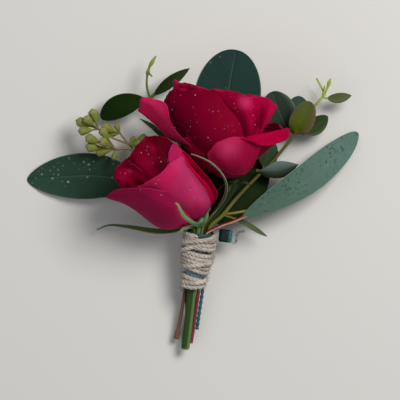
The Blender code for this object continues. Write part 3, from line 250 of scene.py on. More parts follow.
class Graph:
    """Adds nodes to a tree and joins them."""

    def __init__(self, tree: NodeTree) -> None:
        """Takes the tree over."""
        self.tree = tree

    def node(
        self,
        kind: str,
        settings: Mapping[str, object] | None = None,
        inputs: Mapping[str | int, Value] | None = None,
        output: str | int = 0,
    ) -> Term:
        """Adds one node.

        Args:
            kind: the node's type.
            settings: its properties, which are set first.
            inputs: its sockets' values or links, by name or place.
            output: the output that is returned, by name or place.

        Returns:
            That output.
        """
        made = self.tree.nodes.new(kind)
        for name, value in (settings or {}).items():
            setattr(made, name, value)
        for key, value in (inputs or {}).items():
            self.feed(made.inputs[key], value)
        return Term(self, made.outputs[output])

    def feed(self, socket: NodeSocket, value: Value) -> None:
        """Links a term to a socket, or sets its own value."""
        if isinstance(value, Term):
            self.tree.links.new(value.socket, socket)
        elif socket.type == "RGBA" and len(value) == 3:
            socket.default_value = (*value, 1.0)
        else:
            socket.default_value = value

    def also(self, term: Term, output: str | int) -> Term:
        """Another output of the node that a term comes from."""
        return Term(self, term.socket.node.outputs[output])

    def vector(self, x: Value, y: Value, z: Value = 0.0) -> Term:
        """A vector from three values."""
        return self.node("ShaderNodeCombineXYZ", None, {0: x, 1: y, 2: z})

    def vector_math(self, operation: str, a: Value, b: Value) -> Term:
        """A Vector Math node. Scale takes its second value as a number."""
        place = 3 if operation == "SCALE" else 1
        return self.node("ShaderNodeVectorMath", {"operation": operation}, {0: a, place: b})

    def colour(self, factor: Value, a: Value, b: Value, kind: str = "MIX") -> Term:
        """The colour a share of the way from a to b."""
        settings = {"data_type": "RGBA", "blend_type": kind}
        return self.node("ShaderNodeMix", settings, {0: factor, 6: a, 7: b}, output=2)

    def clouds(self, where: Value, scale: float, detail: float = 2.0) -> Term:
        """Noise from 0 to 1."""
        inputs = {"Vector": where, "Scale": scale, "Detail": detail}
        return self.node("ShaderNodeTexNoise", None, inputs)


class Finish(Graph):
    """A material under a Principled shader, built as a graph."""

    def __init__(self, name: str, **sockets: Value) -> None:
        """Makes the material, with the shader's plain socket values by their names."""
        self.material = bpy.data.materials.new(name)
        self.material.use_nodes = True
        super().__init__(self.material.node_tree)
        self.shader = self.tree.nodes["Principled BSDF"]
        for key, value in sockets.items():
            self.feed(self.shader.inputs[key.replace("_", " ")], value)

    def body(self) -> Term:
        """Object coordinates, in metres."""
        return self.node("ShaderNodeTexCoord", output="Object")

    def surface(self) -> tuple[Term, Term]:
        """The coordinates across and along a leaf, petal or stem, from 0 to 1."""
        places = self.node("ShaderNodeUVMap", {"uv_map": "grain"})
        split = self.node("ShaderNodeSeparateXYZ", None, {0: places})
        return split, self.also(split, 1)

    def attribute(self, name: str, output: str = "Color") -> Term:
        """A named attribute of the mesh."""
        return self.node("ShaderNodeAttribute", {"attribute_name": name}, output=output)

    def tinted(self, shade: Term) -> Term:
        """The mesh's own tint, darkened by a grey value or a colour."""
        return self.colour(1.0, self.attribute("tint"), shade, "MULTIPLY")

    def bump(self, height: Term, depth: float, strength: float = 1.0) -> None:
        """Raises the surface by a height, at a depth in metres for a height of 1."""
        inputs = {"Height": height, "Distance": depth, "Strength": strength}
        self.feed(self.shader.inputs["Normal"], self.node("ShaderNodeBump", None, inputs))

    def paint(self, colour: Term, roughness: Value = None) -> Material:
        """Feeds the shader's colour and roughness, and returns the material."""
        self.feed(self.shader.inputs["Base Color"], colour)
        if roughness is not None:
            self.feed(self.shader.inputs["Roughness"], roughness)
        return self.material


@dataclass(frozen=True)
class PetalFinish:
    """A rose petal: soft and veined from its root, with painted light along its rim."""

    # rim is the tint of the painted light that shines through the petal's thin edge.
    rim: Colour = tone(196, 30, 86)
    vein_rows: float = 34.0

    def build(self) -> Material:
        """The material."""
        made = Finish(
            "petal",
            Specular_IOR_Level=0.015,
            Subsurface_Weight=0.1,
            Subsurface_Radius=(0.003, 0.0002, 0.0006),
            Subsurface_Scale=1.0,
        )
        across, along = made.surface()
        veins = made.clouds(made.vector(across * self.vein_rows, along * 2.6), 1.0, 3.0)
        mottle = made.clouds(made.body(), 130.0, 3.0)
        grain = made.clouds(made.body(), 1500.0, 2.0)
        value = 0.5 + 0.4 * veins + 0.42 * mottle + 0.2 * grain
        tint = made.tinted(value)
        # The rim mask mixes in painted light, as if shining through the thin edge.
        rim = along.step(0.965, 1.0).most(abs(across - 0.5).step(0.478, 0.5))
        edge = rim * (mottle.step(0.42, 0.62) * 0.5)
        made.bump(0.55 * veins + 0.25 * mottle + 0.2 * grain, 0.00055, 0.55)
        return made.paint(made.colour(edge, tint, self.rim), 0.44 + 0.2 * mottle)


@dataclass(frozen=True)
class LeafFinish:
    """A leaf: waxy bloom in patches, a midrib, side veins and a thin bright edge."""

    name: str
    rib: Colour
    edge: Colour
    rib_width: float = 0.035
    rib_share: float = 0.6
    side_veins: float = 12.0
    vein_share: float = 0.05
    patches: float = 0.3
    speckle: float = 0.12
    drops: float = 0.0
    gloss: float = 0.5

    def build(self) -> Material:
        """The material."""
        made = Finish(self.name, Specular_IOR_Level=0.05)
        across, along = made.surface()
        off = abs(across - 0.5) * 2.0
        body = made.body()
        patch = made.clouds(body, 95.0, 3.0)
        dots = made.clouds(body, 1300.0, 2.0)
        blade = along.step(0.004, 0.03)
        rib = (1.0 - off.step(self.rib_width * 0.3, self.rib_width)) * blade
        phase = (along * self.side_veins - off * 1.5 + patch * 0.5) * TURN
        vein = phase.sine().step(0.86, 1.0) * blade * off.step(self.rib_width, 0.2)
        darkest = 1.0 - 0.5 * self.patches - 0.5 * self.speckle
        value = darkest + patch * self.patches + dots * self.speckle
        specks = made.clouds(body, 640.0, 1.0).step(0.56, 0.66) * patch.step(0.42, 0.58)
        value = value - specks * self.drops
        tint = made.tinted(value)
        tint = made.colour(vein * self.vein_share, tint, self.rib)
        tint = made.colour(off.step(0.955, 0.995) * blade * 0.55, tint, self.edge)
        tint = made.colour(rib * self.rib_share, tint, self.rib)
        made.bump(dots * 0.25 + patch * 0.6 - vein * 0.35 - rib * 0.5, 0.0004, 0.6)
        return made.paint(tint, self.gloss + 0.16 * patch)


@dataclass(frozen=True)
class StemFinish:
    """A stem or bud: its own tint, streaked along its length."""

    name: str
    streak: float = 0.4
    gloss: float = 0.45

    def build(self) -> Material:
        """The material."""
        made = Finish(self.name, Specular_IOR_Level=0.14)
        across, along = made.surface()
        streaks = made.clouds(made.vector(across * 7.0, along * 5.0), 1.0, 3.0)
        spots = made.clouds(made.body(), 900.0, 2.0)
        value = (1.0 - 0.75 * self.streak) + streaks * self.streak + spots * (0.5 * self.streak)
        tint = made.tinted(value)
        made.bump(streaks * 0.6 + spots * 0.4, 0.00025, 0.5)
        return made.paint(tint, self.gloss + 0.15 * spots)


@dataclass(frozen=True)
class TwineFinish:
    """Jute: pale and darker fibres laid along each ply."""

    dark: Colour = tone(132, 118, 104)
    pale: Colour = tone(226, 218, 208)

    def build(self) -> Material:
        """The material."""
        made = Finish("twine", Specular_IOR_Level=0.08)
        run = made.attribute("run", "Fac")
        turn = made.attribute("turn", "Fac")
        fibres = made.clouds(made.vector(turn * 9.0, run * 900.0), 1.0, 3.0)
        patch = made.clouds(made.body(), 160.0, 3.0)
        made.bump(fibres, 0.0003, 0.8)
        bleach = (fibres * 0.8 + patch * 0.7 - 0.25).step(0.0, 1.0)
        return made.paint(made.colour(bleach, self.dark, self.pale), 0.88)


@dataclass(frozen=True)
class TapeFinish:
    """Florist's crepe tape: fine creases across a waxed teal paper."""

    name: str
    dark: Colour
    pale: Colour
    creases: Point = (300.0, 1800.0, 600.0)

    def build(self) -> Material:
        """The material."""
        made = Finish(self.name, Specular_IOR_Level=0.25)
        body = made.body()
        crease = made.clouds(made.vector_math("MULTIPLY", body, self.creases), 1.0, 3.0)
        patch = made.clouds(body, 220.0, 2.0)
        made.bump(crease, 0.0003, 0.7)
        paper = made.colour((crease * 0.7 + patch * 0.3).step(0.3, 0.75), self.dark, self.pale)
        tint = made.tinted(paper)
        return made.paint(tint, 0.42 + 0.2 * patch)


@dataclass(frozen=True)
class SteelFinish:
    """Bright drawn wire."""

    dull: Colour = tone(140, 140, 138)
    bright: Colour = tone(190, 190, 188)

    def build(self) -> Material:
        """The material."""
        made = Finish("steel", Metallic=1.0)
        marks = made.clouds(made.body(), 1400.0, 2.0)
        return made.paint(made.colour(marks, self.dull, self.bright), 0.2 + 0.2 * marks)


@dataclass(frozen=True)
class DewFinish:
    """Clear water, drawn as part-see-through specks whose pale tints, matched to what they lie on, are
    painted glints.
    """

    name: str
    thin: Colour
    full: Colour

    def build(self) -> Material:
        """The material."""
        made = Finish(self.name, Roughness=0.08, Specular_IOR_Level=0.8)
        ripples = made.clouds(made.body(), 400.0, 1.0)
        made.feed(made.shader.inputs["Alpha"], 0.08 + 0.5 * ripples.step(0.35, 0.75))
        return made.paint(made.colour(ripples, self.thin, self.full))


# Meshes.


def shell_volume(points: Sequence[Vector], faces: Iterable[Sequence[int]]) -> float:
    """The signed volume inside a closed skin, six times over."""
    total = 0.0
    for face in faces:
        a = points[face[0]]
        for i in range(1, len(face) - 1):
            total += a.dot(points[face[i]].cross(points[face[i + 1]]))
    return total


def ring_faces(rings: int, sides: int, joined: bool = False) -> list[tuple[int, ...]]:
    """The faces between rings of points. joined closes the last ring onto the first."""
    faces = []
    for i in range(rings if joined else rings - 1):
        below = (i + 1) % rings * sides
        for k in range(sides):
            ahead = (k + 1) % sides
            faces.append((i * sides + k, i * sides + ahead, below + ahead, below + k))
    return faces


def slopes(grid: Grid, i: int, j: int) -> tuple[Vector, Vector]:
    """The steps down and across a grid at one of its points."""
    row = grid[i]
    down = grid[min(i + 1, len(grid) - 1)][j] - grid[max(i - 1, 0)][j]
    return down, row[min(j + 1, len(row) - 1)] - row[max(j - 1, 0)]


class Skin:
    """Points and faces of one piece, with the surface coordinates and tints of its finish."""

    def __init__(self) -> None:
        """Starts an empty piece."""
        self.points: list[Vector] = []
        self.faces: list[tuple[int, ...]] = []
        self.grain: list[Pair] = []
        self.tints: list[Colour] = []
        self.wet: list[float] = []

    def add(
        self, points: Sequence[Vector], faces: Sequence[Sequence[int]], grain: Table,
        tints: Sequence[Colour], wet: Sequence[float] | None = None,
    ) -> None:
        """Adds one closed shell, with its faces turned outwards.

        Args:
            points: its points in millimetres.
            faces: its faces by the points' places.
            grain: each point's place across and along the surface.
            tints: each point's colour.
            wet: each point's share of dew.
        """
        start = len(self.points)
        inside_out = shell_volume(points, faces) < 0.0
        for face in faces:
            face = [i + start for i in face]
            self.faces.append(tuple(reversed(face)) if inside_out else tuple(face))
        self.points += points
        self.grain += grain
        self.tints += tints
        self.wet += wet or [0.0] * len(points)

    def loft(
        self, rings: Sequence[Sequence[Vector]], grain: Table, tints: Sequence[Colour],
        wet: Sequence[float] | None = None,
    ) -> None:
        """Adds a closed skin over rings of equal count, with a middle point at each end."""
        count = len(rings[0])
        points = [p for ring in rings for p in ring]
        faces = ring_faces(len(rings), count)
        last = len(points) - count
        ends = [sum(ring, Vector()) / count for ring in (rings[0], rings[-1])]
        first_middle, last_middle = len(points), len(points) + 1
        for k in range(count):
            faces.append(((k + 1) % count, k, first_middle))
            faces.append((last + k, last + (k + 1) % count, last_middle))
        grain = [*grain, (0.5, grain[0][1]), (0.5, grain[-1][1])]
        wet = [*wet, 0.0, 0.0] if wet else None
        self.add([*points, *ends], faces, grain, [*tints, tints[0], tints[-1]], wet)

    def tube(
        self, points: Iterable[Sequence[float]], radii: float | Table, tints: TintTable, sides: int = 10,
        rows: int = 24, rough: float = 0.03, round_end: bool = False,
    ) -> None:
        """Adds a stem.

        Args:
            points: the points of its middle line.
            radii: its radius, or a table of it along the length.
            tints: a table of its colour along the length.
            sides: the faces round it.
            rows: the rings along it.
            rough: how uneven its bark is, in millimetres.
            round_end: whether its far end is domed.
        """
        path = Path(points)
        if not isinstance(radii, (list, tuple)):
            radii = even(radii)
        side = path.tangent(0.0).cross(UP)
        side = side if side.length > 0.1 else Vector((1.0, 0.0, 0.0))
        rings, grain, colours = [], [], []
        shares = [i / rows for i in range(rows + 1)]
        if round_end:
            shares += [1.0, 1.0]
        for i, share in enumerate(shares):
            ahead = path.tangent(share)
            side = (side - ahead * side.dot(ahead)).normalized()
            other = ahead.cross(side)
            centre, radius = path.at(share), along_table(radii, share)
            if i > rows:
                angle = (i - rows) * radians(36.0)
                centre = centre + ahead * (radius * sin(angle))
                radius *= cos(angle)
            ring = []
            for k, turn in enumerate(round_turns(sides)):
                out = side * cos(turn) + other * sin(turn)
                point = centre + out * radius
                ring.append(point + out * (rough * ripple(point, 1.2)))
                grain.append((1.0 - abs(2.0 * k / sides - 1.0), share * path.length * 0.1))
                colours.append(along_table(tints, share))
            rings.append(ring)
        self.loft(rings, grain, colours)

    def plate(
        self, grid: Grid, wall: float, outer: Sequence[Colour], inner: Sequence[Colour],
        wet: Sequence[float], outwards: Vector,
    ) -> None:
        """Adds a closed sheet round a grid of middle points.

        Args:
            grid: rows of points from the root to the rim.
            wall: its thickness.
            outer: the tint of each point of its outer face.
            inner: the tint of each point of its inner face.
            wet: the share of dew of each point of its outer face.
            outwards: a direction that the outer face looks in.
        """
        rows, cols = len(grid), len(grid[0])
        flat = [p for row in grid for p in row]
        normals = []
        for i in range(rows):
            for j in range(cols):
                down, across = slopes(grid, i, j)
                normals.append(down.cross(across).normalized())
        if sum(normals, Vector()).dot(outwards) < 0.0:
            normals = [-n for n in normals]
        lips = [i in (0, rows - 1) or j in (0, cols - 1) for i in range(rows) for j in range(cols)]
        halves = [wall * (0.26 if lip else 0.5) for lip in lips]
        points = [p + n * h for p, n, h in zip(flat, normals, halves)]
        points += [p - n * h for p, n, h in zip(flat, normals, halves)]
        grain = [(j / (cols - 1), i / (rows - 1)) for i in range(rows) for j in range(cols)] * 2
        back = rows * cols
        faces = []
        for i in range(rows - 1):
            for j in range(cols - 1):
                a = i * cols + j
                b, c, d = a + 1, a + cols + 1, a + cols
                faces += [(a, d, c, b), (a + back, b + back, c + back, d + back)]
        rim = [(0, j) for j in range(cols)] + [(i, cols - 1) for i in range(1, rows)]
        rim += [(rows - 1, j) for j in range(cols - 2, -1, -1)] + [(i, 0) for i in range(rows - 2, 0, -1)]
        rim = [i * cols + j for i, j in rim]
        for a, b in zip(rim, rim[1:] + rim[:1]):
            faces.append((a, b, b + back, a + back))
        self.add(points, faces, grain, [*outer, *inner], [*wet, *[0.0] * back])

    def mesh(self, name: str, finish: Material) -> Mesh:
        """The piece's mesh in metres, with its attributes and finish."""
        made = bare_mesh(name, self.points, faces=self.faces)
        places = made.uv_layers.new(name="grain")
        corners = [0] * len(made.loops)
        made.loops.foreach_get("vertex_index", corners)
        places.data.foreach_set("uv", [value for i in corners for value in self.grain[i]])
        tint = made.attributes.new("tint", "FLOAT_COLOR", "POINT")
        tint.data.foreach_set("color", [value for c in self.tints for value in (*c, 1.0)])
        wet = made.attributes.new("wet", "FLOAT", "POINT")
        wet.data.foreach_set("value", self.wet)
        made.materials.append(finish)
        made.shade_smooth()
        return made

    def settle(self, node: str, part: str, finish: Material, slot: Slot) -> Object:
        """Puts the skin into the scene as a part of what stands for a node."""
        name = node + "_" + part
        return place(name, self.mesh(name, finish), slot, [node])


def linked(name: str, data: ID) -> Object:
    """A new object in the scene."""
    made = bpy.data.objects.new(name, data)
    bpy.context.scene.collection.objects.link(made)
    return made


def bare_mesh(name: str, points: Iterable[Vector], edges: Sequence = (), faces: Sequence = ()) -> Mesh:
    """A new mesh from points in millimetres."""
    made = bpy.data.meshes.new(name)
    made.from_pydata([p * MM for p in points], edges, faces)
    return made


def place(name: str, mesh: Mesh, slot: Slot | None, replaces: Sequence[str] = ()) -> Object:
    """Puts a finished mesh into the scene as a piece of the bouquet.

    Args:
        name: the piece's name.
        mesh: its mesh, with its place in it.
        slot: not used.
        replaces: the part's nodes that it stands for.

    Returns:
        The piece's object.
    """
    made = linked(name, mesh)
    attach(made, "root")
    if replaces:
        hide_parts(*replaces)
    LOG.info("%s: %d faces", name, len(mesh.polygons))
    return made


# Geometry node trees for what repeats.


def grown(host: Mesh, tree: NodeTree, inputs: Mapping[str, Value]) -> Mesh:
    """Runs a geometry tree on a mesh.

    Args:
        host: the mesh that the tree starts from.
        tree: the tree.
        inputs: its inputs by name.

    Returns:
        The result as a plain mesh.
    """
    holder = linked("holder", host)
    modifier = holder.modifiers.new("grow", "NODES")
    modifier.node_group = tree
    for item in tree.interface.items_tree:
        if item.item_type == "SOCKET" and item.in_out == "INPUT" and item.name in inputs:
            modifier[item.identifier] = inputs[item.name]
    bpy.context.view_layer.update()
    graph = bpy.context.evaluated_depsgraph_get()
    made = bpy.data.meshes.new_from_object(holder.evaluated_get(graph))
    bpy.data.objects.remove(holder, do_unlink=True)
    made.shade_smooth()
    return made


class Tree(Graph):
    """A geometry node tree with named inputs and one geometry output."""

    def __init__(self, name: str, sockets: Mapping[str, float | str]) -> None:
        """Makes the tree.

        Args:
            name: its name.
            sockets: each input's name, with its first value, or with its type where it has none.
        """
        tree = bpy.data.node_groups.new(name, "GeometryNodeTree")
        super().__init__(tree)
        tree.interface.new_socket("Geometry", in_out="INPUT", socket_type="NodeSocketGeometry")
        for key, value in sockets.items():
            kind = value if isinstance(value, str) else type(value).__name__.capitalize()
            made = tree.interface.new_socket(key, in_out="INPUT", socket_type="NodeSocket" + kind)
            if kind != value:
                made.default_value = value
        tree.interface.new_socket("Geometry", in_out="OUTPUT", socket_type="NodeSocketGeometry")
        self.start = tree.nodes.new("NodeGroupInput")

    def __getitem__(self, name: str) -> Term:
        """One of the tree's inputs."""
        return Term(self, self.start.outputs[name])

    def named(self, name: str, kind: str = "FLOAT") -> Term:
        """A named attribute of what the tree works on."""
        return self.node("GeometryNodeInputNamedAttribute", {"data_type": kind}, {"Name": name})

    def stored(self, geometry: Term, name: str, measure: str) -> Term:
        """The curves with their own run, as a length or a factor, stored by a name."""
        run = self.node("GeometryNodeSplineParameter", output=measure)
        settings = {"data_type": "FLOAT", "domain": "POINT"}
        inputs = {"Geometry": geometry, "Name": name, "Value": run}
        return self.node("GeometryNodeStoreNamedAttribute", settings, inputs)

    def size(self) -> Term:
        """A random size between the inputs Smallest and Largest."""
        inputs = {2: self["Smallest"], 3: self["Largest"], "Seed": self["Seed"]}
        return self.node("FunctionNodeRandomValue", {"data_type": "FLOAT"}, inputs, output=1)

    def copies(self, points: Term, turn: Term, size: Term) -> NodeTree:
        """Sets a copy of the input Piece on each point, and closes the tree."""
        piece = self.node("GeometryNodeObjectInfo", None, {"Object": self["Piece"]}, output="Geometry")
        inputs = {"Points": points, "Instance": piece, "Rotation": turn, "Scale": size}
        return self.end(self.node("GeometryNodeInstanceOnPoints", None, inputs))

    def end(self, geometry: Term) -> NodeTree:
        """Makes the instances real, sets the finish and closes the tree."""
        real = self.node("GeometryNodeRealizeInstances", None, {0: geometry})
        dressed = self.node("GeometryNodeSetMaterial", None, {0: real, "Material": self["Finish"]})
        self.tree.links.new(dressed.socket, self.tree.nodes.new("NodeGroupOutput").inputs[0])
        return self.tree


def scatter_tree() -> NodeTree:
    """A tree that strews copies of a small piece over a surface, where its attribute wet allows."""
    tree = Tree("strewn", {
        "Piece": "Object", "Spacing": 0.001, "Density": 1e5, "Smallest": 0.5, "Largest": 1.0, "Lean": 0.1,
        "Seed": 1, "Finish": "Material",
    })
    points = tree.node("GeometryNodeDistributePointsOnFaces", {"distribute_method": "POISSON"}, {
        "Mesh": tree["Geometry"], "Distance Min": tree["Spacing"], "Density Max": tree["Density"],
        "Density Factor": tree.named("wet"), "Seed": tree["Seed"],
    })
    lean, seed = tree["Lean"], tree["Seed"] + 7.0
    low, high = tree.vector(0.0 - lean, 0.0 - lean, -pi), tree.vector(lean, lean, pi)
    inputs = {0: low, 1: high, "Seed": seed}
    swing = tree.node("FunctionNodeRandomValue", {"data_type": "FLOAT_VECTOR"}, inputs)
    tilt = tree.node("FunctionNodeEulerToRotation", None, {0: swing})
    inputs = {0: tree.also(points, "Rotation"), 1: tilt}
    turn = tree.node("FunctionNodeRotateRotation", {"rotation_space": "LOCAL"}, inputs)
    return tree.copies(points, turn, tree.size())


def cluster_tree() -> NodeTree:
    """A tree that sets a copy of a piece on each point, by its attributes aim and size."""
    sockets = {"Piece": "Object", "Smallest": 0.9, "Largest": 1.1, "Seed": 1, "Finish": "Material"}
    tree = Tree("cluster", sockets)
    aim = tree.named("aim", "FLOAT_VECTOR")
    turn = tree.node("FunctionNodeAlignRotationToVector", {"axis": "Z"}, {"Vector": aim})
    points = tree.node("GeometryNodeMeshToPoints", None, {0: tree["Geometry"]})
    return tree.copies(points, turn, tree.size() * tree.named("size"))


def twine_tree(plies: int = 3, sides: int = 7) -> NodeTree:
    """A tree that lays plies round a middle line, each twisted about it.

    Args:
        plies: how many there are.
        sides: the faces round each.

    Returns:
        The tree. It names the run along each ply and the turn round it, for the finish.
    """
    sockets = {"Step": 0.0005, "Twist Length": 0.006, "Ply Offset": 0.0005, "Ply Radius": 0.0006}
    tree = Tree("twisted_plies", {**sockets, "Finish": "Material"})
    line = tree.node("GeometryNodeMeshToCurve", None, {0: tree["Geometry"]})
    inputs = {"Curve": line, "Length": tree["Step"]}
    line = tree.node("GeometryNodeResampleCurve", {"mode": "LENGTH"}, inputs)
    inputs = {"Geometry": line, "Amount": plies}
    copies = tree.node("GeometryNodeDuplicateElements", {"domain": "SPLINE"}, inputs)
    run = tree.node("GeometryNodeSplineParameter", output="Length")
    angle = run / tree["Twist Length"] * TURN + tree.also(copies, "Duplicate Index") * (TURN / plies)
    normal = tree.node("GeometryNodeInputNormal")
    sideways = tree.vector_math("CROSS_PRODUCT", tree.node("GeometryNodeInputTangent"), normal)
    upper = tree.vector_math("SCALE", normal, angle.cosine())
    aside = tree.vector_math("ADD", upper, tree.vector_math("SCALE", sideways, angle.sine()))
    offset = tree.vector_math("SCALE", aside, tree["Ply Offset"])
    plied = tree.node("GeometryNodeSetPosition", None, {"Geometry": copies, "Offset": offset})
    inputs = {"Resolution": sides, "Radius": tree["Ply Radius"]}
    ring = tree.node("GeometryNodeCurvePrimitiveCircle", None, inputs)
    plied, ring = tree.stored(plied, "run", "Length"), tree.stored(ring, "turn", "Factor")
    inputs = {"Curve": plied, "Profile Curve": ring, "Fill Caps": True}
    return tree.end(tree.node("GeometryNodeCurveToMesh", None, inputs))


class Strewer:
    """Strews drops of dew and loose fibres over the pieces."""

    def __init__(self) -> None:
        """Makes the tree, the drop and the fibre."""
        self.tree = scatter_tree()
        # Pale pink and pale green drop tints: painted glints on petals and on leaves.
        self.petal_dew = DewFinish("dew_petal", tone(180, 96, 130), tone(226, 180, 196)).build()
        self.leaf_dew = DewFinish("dew_leaf", tone(96, 124, 112), tone(170, 192, 182)).build()
        self.drop = self.hidden("drop", self.drop_skin())
        self.fibre = self.hidden("fibre", self.fibre_skin())

    def hidden(self, name: str, skin: Skin) -> Object:
        """A small piece outside the scene, in metres, for a tree to copy."""
        return bpy.data.objects.new(name, skin.mesh(name, self.leaf_dew))

    def drop_skin(self, sides: int = 10, rows: int = 5) -> Skin:
        """A drop of 1 mm across that sits on the surface as a low dome."""
        skin = Skin()
        rings = []
        for i in range(rows + 1):
            angle = mix(-0.3, 0.47, i / rows) * pi
            radius, high = 0.5 * cos(angle), 0.28 * sin(angle)
            turns = round_turns(sides)
            rings.append([Vector((radius * cos(t), radius * sin(t), high)) for t in turns])
        count = (rows + 1) * sides
        skin.loft(rings, [(0.5, 0.5)] * count, [WHITE] * count)
        return skin

    def fibre_skin(self) -> Skin:
        """A loose fibre of 1 mm that bends over."""
        skin = Skin()
        points = ((0.0, 0.0, -0.1), (0.1, 0.0, 0.25), (0.42, 0.1, 0.5), (0.85, 0.1, 0.52))
        skin.tube(points, ((0.0, 0.035), (1.0, 0.012)), even(WHITE), 3, 4, 0.0)
        return skin

    def dewed(self, piece: Object, seed: int, sizes: Pair, spacing: float, dew: Material) -> None:
        """Adds the dew on a piece.

        Args:
            piece: the piece, whose attribute wet says where the dew is.
            seed: the seed of its places.
            sizes: its smallest and largest drops in millimetres.
            spacing: the least distance between drops in millimetres.
            dew: the drops' finish.
        """
        inputs = {
            "Piece": self.drop, "Spacing": spacing * MM, "Density": 1.1e6 / spacing**2,
            "Smallest": sizes[0], "Largest": sizes[1], "Lean": 0.05, "Seed": seed, "Finish": dew,
        }
        place(piece.name + "_dew", grown(piece.data.copy(), self.tree, inputs), None)


# The bundle's frame: every stem has a place across it, and keeps it through the binding.


class Bundle:
    """The cone of stems, from the binding's upper edge down to the cut ends."""

    top = Vector((4.9, -16.0, 17.0))
    foot = Vector((1.0, -43.5, 11.0))
    end = Vector((-2.3, -74.6, 4.3))
    along = (foot - top).normalized()
    across = Vector((-along.y, along.x, 0.0)).normalized()
    front = along.cross(across)

    @classmethod
    def point(cls, share: float, across: float, front: float) -> Vector:
        """A point of the bundle: share 0 is the binding's upper edge, 1 its lower edge, 2 the cut ends."""
        if share <= 1.0:
            centre = cls.top + (cls.foot - cls.top) * share
        else:
            centre = cls.foot.lerp(cls.end, share - 1.0)
        return centre + cls.across * across + cls.front * front

    @classmethod
    def line(cls, *places: Point) -> list[Vector]:
        """The points of a stem, each by its share of the bundle, across it and to its front."""
        return [cls.point(*place) for place in places]

    @classmethod
    def held(cls, slot: Pair, top: float = -0.13) -> list[Vector]:
        """Three points of a stem's run inside the binding, up to just above it."""
        return [cls.point(share, *slot) for share in (0.3, 0.1, top)]


WHITE = tone(255, 255, 255)
BARK_OLIVE = tone(112, 104, 44)
STALK_RED = tone(112, 22, 24)
STEM_GREEN = tone(46, 70, 24)
SEPAL_GREEN = tone(84, 130, 78)
SEPAL_PALE = tone(124, 156, 106)
TEAL_GREEN = tone(46, 80, 74)


# Leaves.

HALF_BLADE = (0.04, 0.1, 0.2, 0.33, 0.48, 0.63, 0.78, 0.89, 0.96, 0.99, 1.0)
HALF_SMALL = (0.08, 0.3, 0.6, 0.85, 0.97, 1.0)


